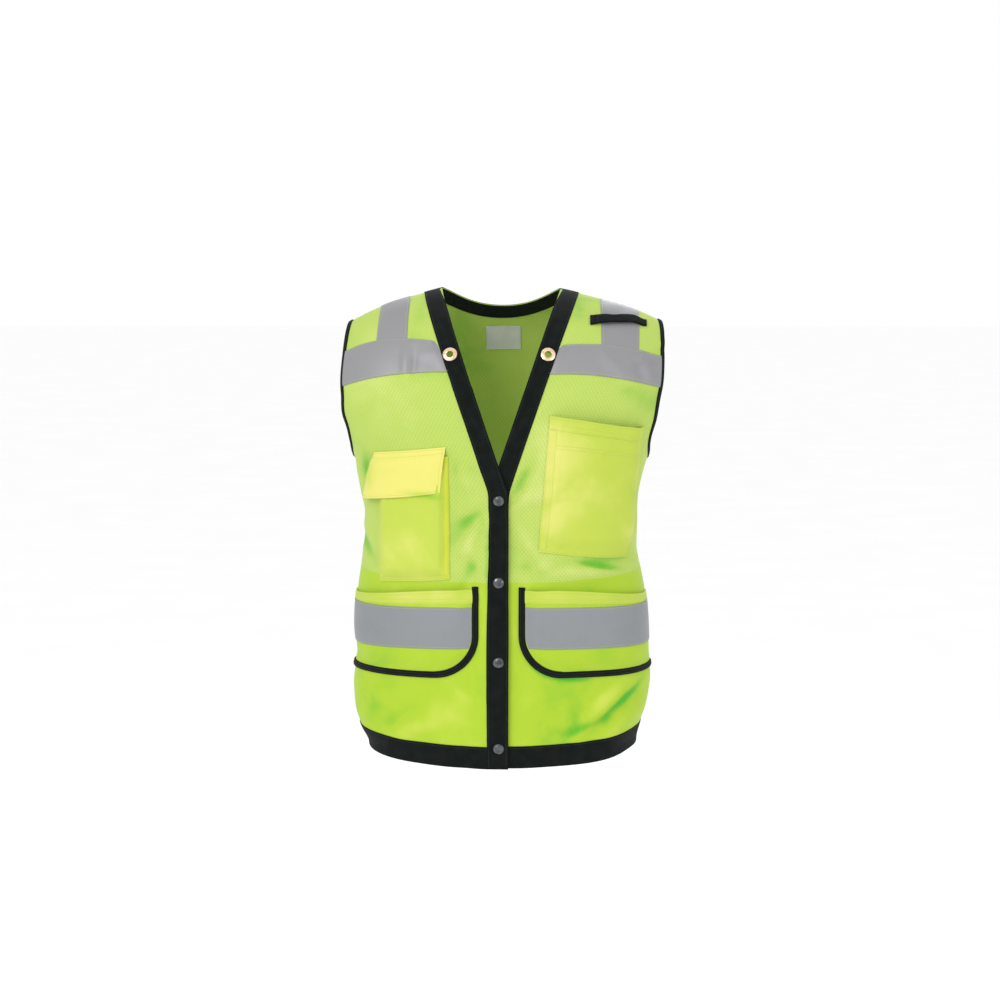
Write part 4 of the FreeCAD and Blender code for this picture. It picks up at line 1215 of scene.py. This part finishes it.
def right_chest_pocket(right):
    """Pocket under the flap, with a pen sleeve along its inner edge and the flap's loop strip."""
    q, s = pocket_shares(*RIGHT_SIZE)
    spots, rise = chest_spots(*RIGHT_POCKET, q, s)
    high = rise + PANEL - sewn(spots, ["outer", "low"]) - sewn(spots, ["low"], 6.0)
    high = high - rounded(spots, ["high"], 0.7, 0.4)
    body = right.piece("right_chest_pocket_cloth", spots, rise, high, YELLOW_LOOK, ["right_chest_pocket"],
                       [("outer", 2.0), ("low", 2.0), ("low", 6.0)])

    q, s = pocket_shares(149.0, 9.5, pitch=1.4)
    spots = quad(PEN_SLEEVE, q, s)
    arch = PANEL + 0.2 + 2.4 * np.sin(math.pi * s)[None, :] ** 0.8 * ease(q * 20)[:, None]
    sleeve = right.piece("pen_sleeve_cloth", spots, arch, arch + PANEL, SLEEVE_LOOK, ["pen_sleeve"],
                         [("inner", 1.2)], rounded(spots, ["high"], 0.7, 0.4))

    spots, rise = chest_spots(*RIGHT_POCKET, np.linspace(0.74, 0.84, 8), np.linspace(0.2, 0.78, 30))
    loops = right.piece("flap_loops", spots, rise + 0.6, rise + PANEL + 0.5, LOOP_LOOK, ["flap_loop_tape"])


def flap_low(spots):
    """Inside of the flap: sewn to the front along its top edge, outside the pocket below."""
    edge = np.minimum(spots.gap("inner"), spots.gap("outer"))
    sag = 3.6 * (1 - ease(edge / 16)) + 0.5 * np.sin(spots.run(1) / 11.0) * (1 - ease(spots.gap("low") / 30))
    return mix(1.0, 10.6, ease(spots.gap("high") / 15)) - sag * ease(spots.gap("high") / 15)


class Flap(Sewn):
    def carry(self, made):
        """Bakes a piece in place on the front; the flap's hinge and the way down from it are worked out but
        not used.
        """
        joint = [j for j in frame["record"]["behaviour"]["joints"] if j["name"] == "pocket_flap_lift"][0]
        start, axis = np.array(joint["pos_m"]), np.array(joint["axis"])
        down = np.array((0.0, 0.0, -1.0))
        down = down - axis * down.dot(axis)
        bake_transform(made)


def pocket_flap():
    flap = Flap()
    q, s = pocket_shares(60.0, 98.0, pitch=1.9)
    spots = quad(FLAP, q, s)
    low = flap_low(spots)
    edges = SIDES + ["low"]
    high = low + 2 * PANEL + 0.2 - rounded(spots, edges + ["high"], 1.0, 0.8) - sewn(spots, edges, 3.0)
    high = high - sewn(spots, ["high"], 7.0, 0.35) - sewn(spots, ["high"], 2.0)
    seams = [(edge, 3.0) for edge in edges] + [("high", 7.0), ("high", 2.0)]
    cloth = flap.piece("pocket_flap_cloth", spots, low, high, FLAP_LOOK, ["pocket_flap_panel"], seams)
    stitching = flap.stitching("flap_stitching", "yellow_cloth")

    whole = quad(FLAP, np.linspace(0, 1, 40), np.linspace(0, 1, 40))
    lowest = flap_low(whole)[6:14, 8:28].min()  # over the strip of hooks
    spots = quad(FLAP, np.linspace(0.1, 0.36, 12), np.linspace(0.16, 0.72, 30))
    hooks = flap.piece("flap_hooks", spots, lowest - 0.55, lowest + 0.3, HOOK_LOOK, ["flap_hook_tape"])


def microphone_tab(left):
    """Webbing tab sewn down at both ends, with a low arch between them."""
    s, q = np.linspace(0, 1, 60), np.linspace(0, 1, 12)
    x = mix(108.5, 176.5, s)
    low_edge = locate(x, 533.0 - 3.5 * ease((x - 158.0) / 18.0))[1]
    t = low_edge[None, :] + 18.0 * q[:, None]
    spots = Spots(phi_of(x[None, :] + 0 * t, t), t, FRONT)
    arch = 1.7 + 3.2 * (ease(s / 0.3) * ease((1 - s) / 0.3))[None, :]
    ends = 0.25 * (bell((s - 0.04) / 0.012) + bell((s - 0.96) / 0.012))[None, :]
    high = arch + 1.9 - rounded(spots, ENDS + SIDES, 0.8, 0.6) - ends
    seams = [(side, inset, 1.0) for side in SIDES for inset in (2.0, 9.0)]
    return left.piece("microphone_webbing", spots, arch, high, WEBBING_LOOK, ["microphone_tab"], seams)


# Back


class Back(Sewn):
    def carry(self, made):
        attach(made, "root")


def back_spots():
    """The back cloth, with columns crowded at the ends of the neckline."""
    neck = np.linspace(0, math.pi, 47)
    neck_x, neck_t = NECK_HALF * np.cos(neck), RIDGE - NECK_DROP * np.sin(neck)
    neck_phi = phi_of(neck_x, neck_t)
    shoulder = np.linspace(arm_angle(RIDGE), neck_phi[0], 34)[:-1]
    top_phi = np.concatenate([shoulder, neck_phi, 180 - shoulder[::-1]])
    top_t = np.concatenate([np.full(len(shoulder), RIDGE), neck_t, np.full(len(shoulder), RIDGE)])
    edge = arm_angle(top_t)
    share = (top_phi - edge) / (180 - 2 * edge)
    level_t = mix(hem_height(share * 180), RIDGE, shares(PANEL_TALL, 3.4)[:, None])
    t = level_t + (top_t - RIDGE) * ease((level_t - 430) / (RIDGE - 430))
    edge = arm_angle(t)
    return Spots(edge + share * (180 - 2 * edge), t, BACK)


def back_strip(bottom, top, inset):
    """Spots of a strip across the back, between the side seams or armholes."""
    grid = patch(bottom, top, lambda t: arm_edge(inset)(t) + 0.15, lambda t: 180 - arm_edge(inset)(t) - 0.15,
                 shares(46, 2.4), shares(440, 3.2), BACK)
    return Spots(*grid, BACK)


def back():
    cloth = Back()
    spots = back_spots()
    high = PANEL - sewn(spots, SIDES, 2.6, 0.3)
    knit = (spots.t[:-1, spots.t.shape[1] // 2] > MESH_START).astype(int)
    panel = cloth.piece("back_cloth", spots, 0.0, high, PANEL_LOOK, ["back_panel"],
                        [("inner", 2.6, 3), ("outer", 2.6, 3)], chosen_rows=knit)
    for name, bottom, top, inset, low, look, node, sides in (
            ("chest_tape_cloth", lambda p: t_at(p, 460.5), lambda p: t_at(p, 507.0), 4.0, 0.5, TAPE_LOOK,
             "upper_tape", ENDS),
            ("waist_tape_cloth", lambda p: 140.0 + 0 * p, lambda p: 190.0 + 0 * p, 0.0, 0.5, TAPE_LOOK,
             "waist_tape", ENDS),
            ("hem_trim", band_low, hem_band_high, 0.0, -0.7, BLACK_LOOK, "hem_band", ["high"])):
        spots = back_strip(bottom, top, inset)
        high = TRIM_TOP + 0.1 - rounded(spots, ENDS, 0.7, 0.4) - sewn(spots, ENDS)
        cloth.piece("back_" + name, spots, low, high, look, ["back_" + node],
                                 [(side, 2.0, 3) for side in sides])

    turn = np.linspace(0, math.pi, 150)[:, None]
    width = shares(BAND_WIDTH, 1.8)[None, :] * BAND_WIDTH
    x, t = (NECK_HALF + width) * np.cos(turn), RIDGE - (NECK_DROP + width) * np.sin(turn)
    spots = Spots(phi_of(x, t), t, BACK)
    high = TRIM_TOP - rounded(spots, SIDES) - sewn(spots, SIDES, BAND_SEAM)
    cloth.piece("collar_trim", spots, -0.75, high, BLACK_LOOK, ["collar_band"],
                             [(side, BAND_SEAM) for side in SIDES])

    x, t = np.linspace(-22, 22, 20)[None, :], np.linspace(498.0, 534.0, 16)[:, None]
    spots = Spots(phi_of(x + 0 * t, t + 0 * x), t, BACK)
    cloth.piece("care_label_cloth", spots, -1.4, -0.85, LABEL_LOOK, ["care_label"])
    cloth.stitching("back_stitching")


# Stage, light and camera

FLOOR_HALF = 30.0
LAMPS = (("key", (-1.5, -2.6, 1.5), 1.6, 46.0), ("fill", (2.2, -2.2, 0.6), 1.6, 14.0),
         ("back", (0.3, 2.8, 1.2), 1.8, 40.0))  # name, place, size and power
LAMP_TARGET = np.array((0.0, 0.0, -0.3))
CAMERA_DISTANCE = 2.8
CAMERA_TURN = 1.6
CAMERA_DIP = 7.065


def link(name, data):
    made = bpy.data.objects.new(name, data)
    bpy.context.scene.collection.objects.link(made)
    return made


def stage_and_light():
    floor_mesh = bpy.data.meshes.new("floor")
    corners = [(x * FLOOR_HALF, y * FLOOR_HALF, 0) for x, y in ((-1, -1), (1, -1), (1, 1), (-1, 1))]
    floor_mesh.from_pydata(corners, [], [(0, 1, 2, 3)])
    floor_mesh.materials.append(plain_surface("pale_floor", (0.985, 0.985, 0.985, 1.0), 3.0, 0.9))
    floor = link("floor", floor_mesh)
    floor.location.z = -1.45

    world = bpy.data.worlds.new("studio")
    world.use_nodes = True
    background = world.node_tree.nodes["Background"].inputs
    background["Color"].default_value = (1.0, 1.0, 1.0, 1.0)
    background["Strength"].default_value = 1.0
    bpy.context.scene.world = world

    for name, place, size, power in LAMPS:
        light = bpy.data.lights.new(name, "AREA")
        light.shape = "DISK"
        light.size = size
        light.energy = power
        lamp = link(name, light)
        lamp.location = place
        lamp.rotation_mode = "QUATERNION"
        lamp.rotation_quaternion = mathutils.Vector(LAMP_TARGET - place).to_track_quat("-Z", "Y")
    bpy.context.scene.view_settings.view_transform = "Standard"


def camera():
    """A little above the middle of the vest, and slightly to its left side."""
    data = bpy.data.cameras.new("camera")
    data.lens = 81.29
    data.sensor_width = 36.0
    made = link("camera", data)
    turn = math.radians(CAMERA_TURN)
    made.location = (CAMERA_DISTANCE * math.sin(turn) - 0.0017, -CAMERA_DISTANCE * math.cos(turn), 0.08)
    made.rotation_euler = (math.radians(90 - CAMERA_DIP), 0, turn)
    bpy.context.scene.camera = made


def metal_parts():
    """The CAD's own snaps and eyelets, with their metals."""
    metals = {GUNMETAL: ("snap_caps", "snap_sockets", "snap_studs", "snap_posts"),
              BRASS: ("left_eyelet", "right_eyelet", "left_eyelet_washer", "right_eyelet_washer")}
    for material, names in metals.items():
        for name in names:
            for slot in frame["nodes"][name].material_slots:
                slot.material = material


def fronts():
    left, right = Front("left"), Front("right")
    left_chest_pocket(left)
    right_chest_pocket(right)
    pocket_flap()
    extras = {"left": [left.shoulder_tape(122.0, 168.0), microphone_tab(left)],
              "right": [right.shoulder_tape(111.0, 148.5)]}
    for front in (left, right):
        panel = front.panel()
        trims = [front.band(), front.hem(), front.chest_tape(), front.arm_binding()]
        pocket, mouth = front.lower_pocket()
        pocket_trims = [mouth, front.waist_tape(), front.pocket_binding()]
        trims += extras[front.side] + [front.stitching(front.name("stitching"))]


stage_and_light()
camera()
metal_parts()
fronts()
back()
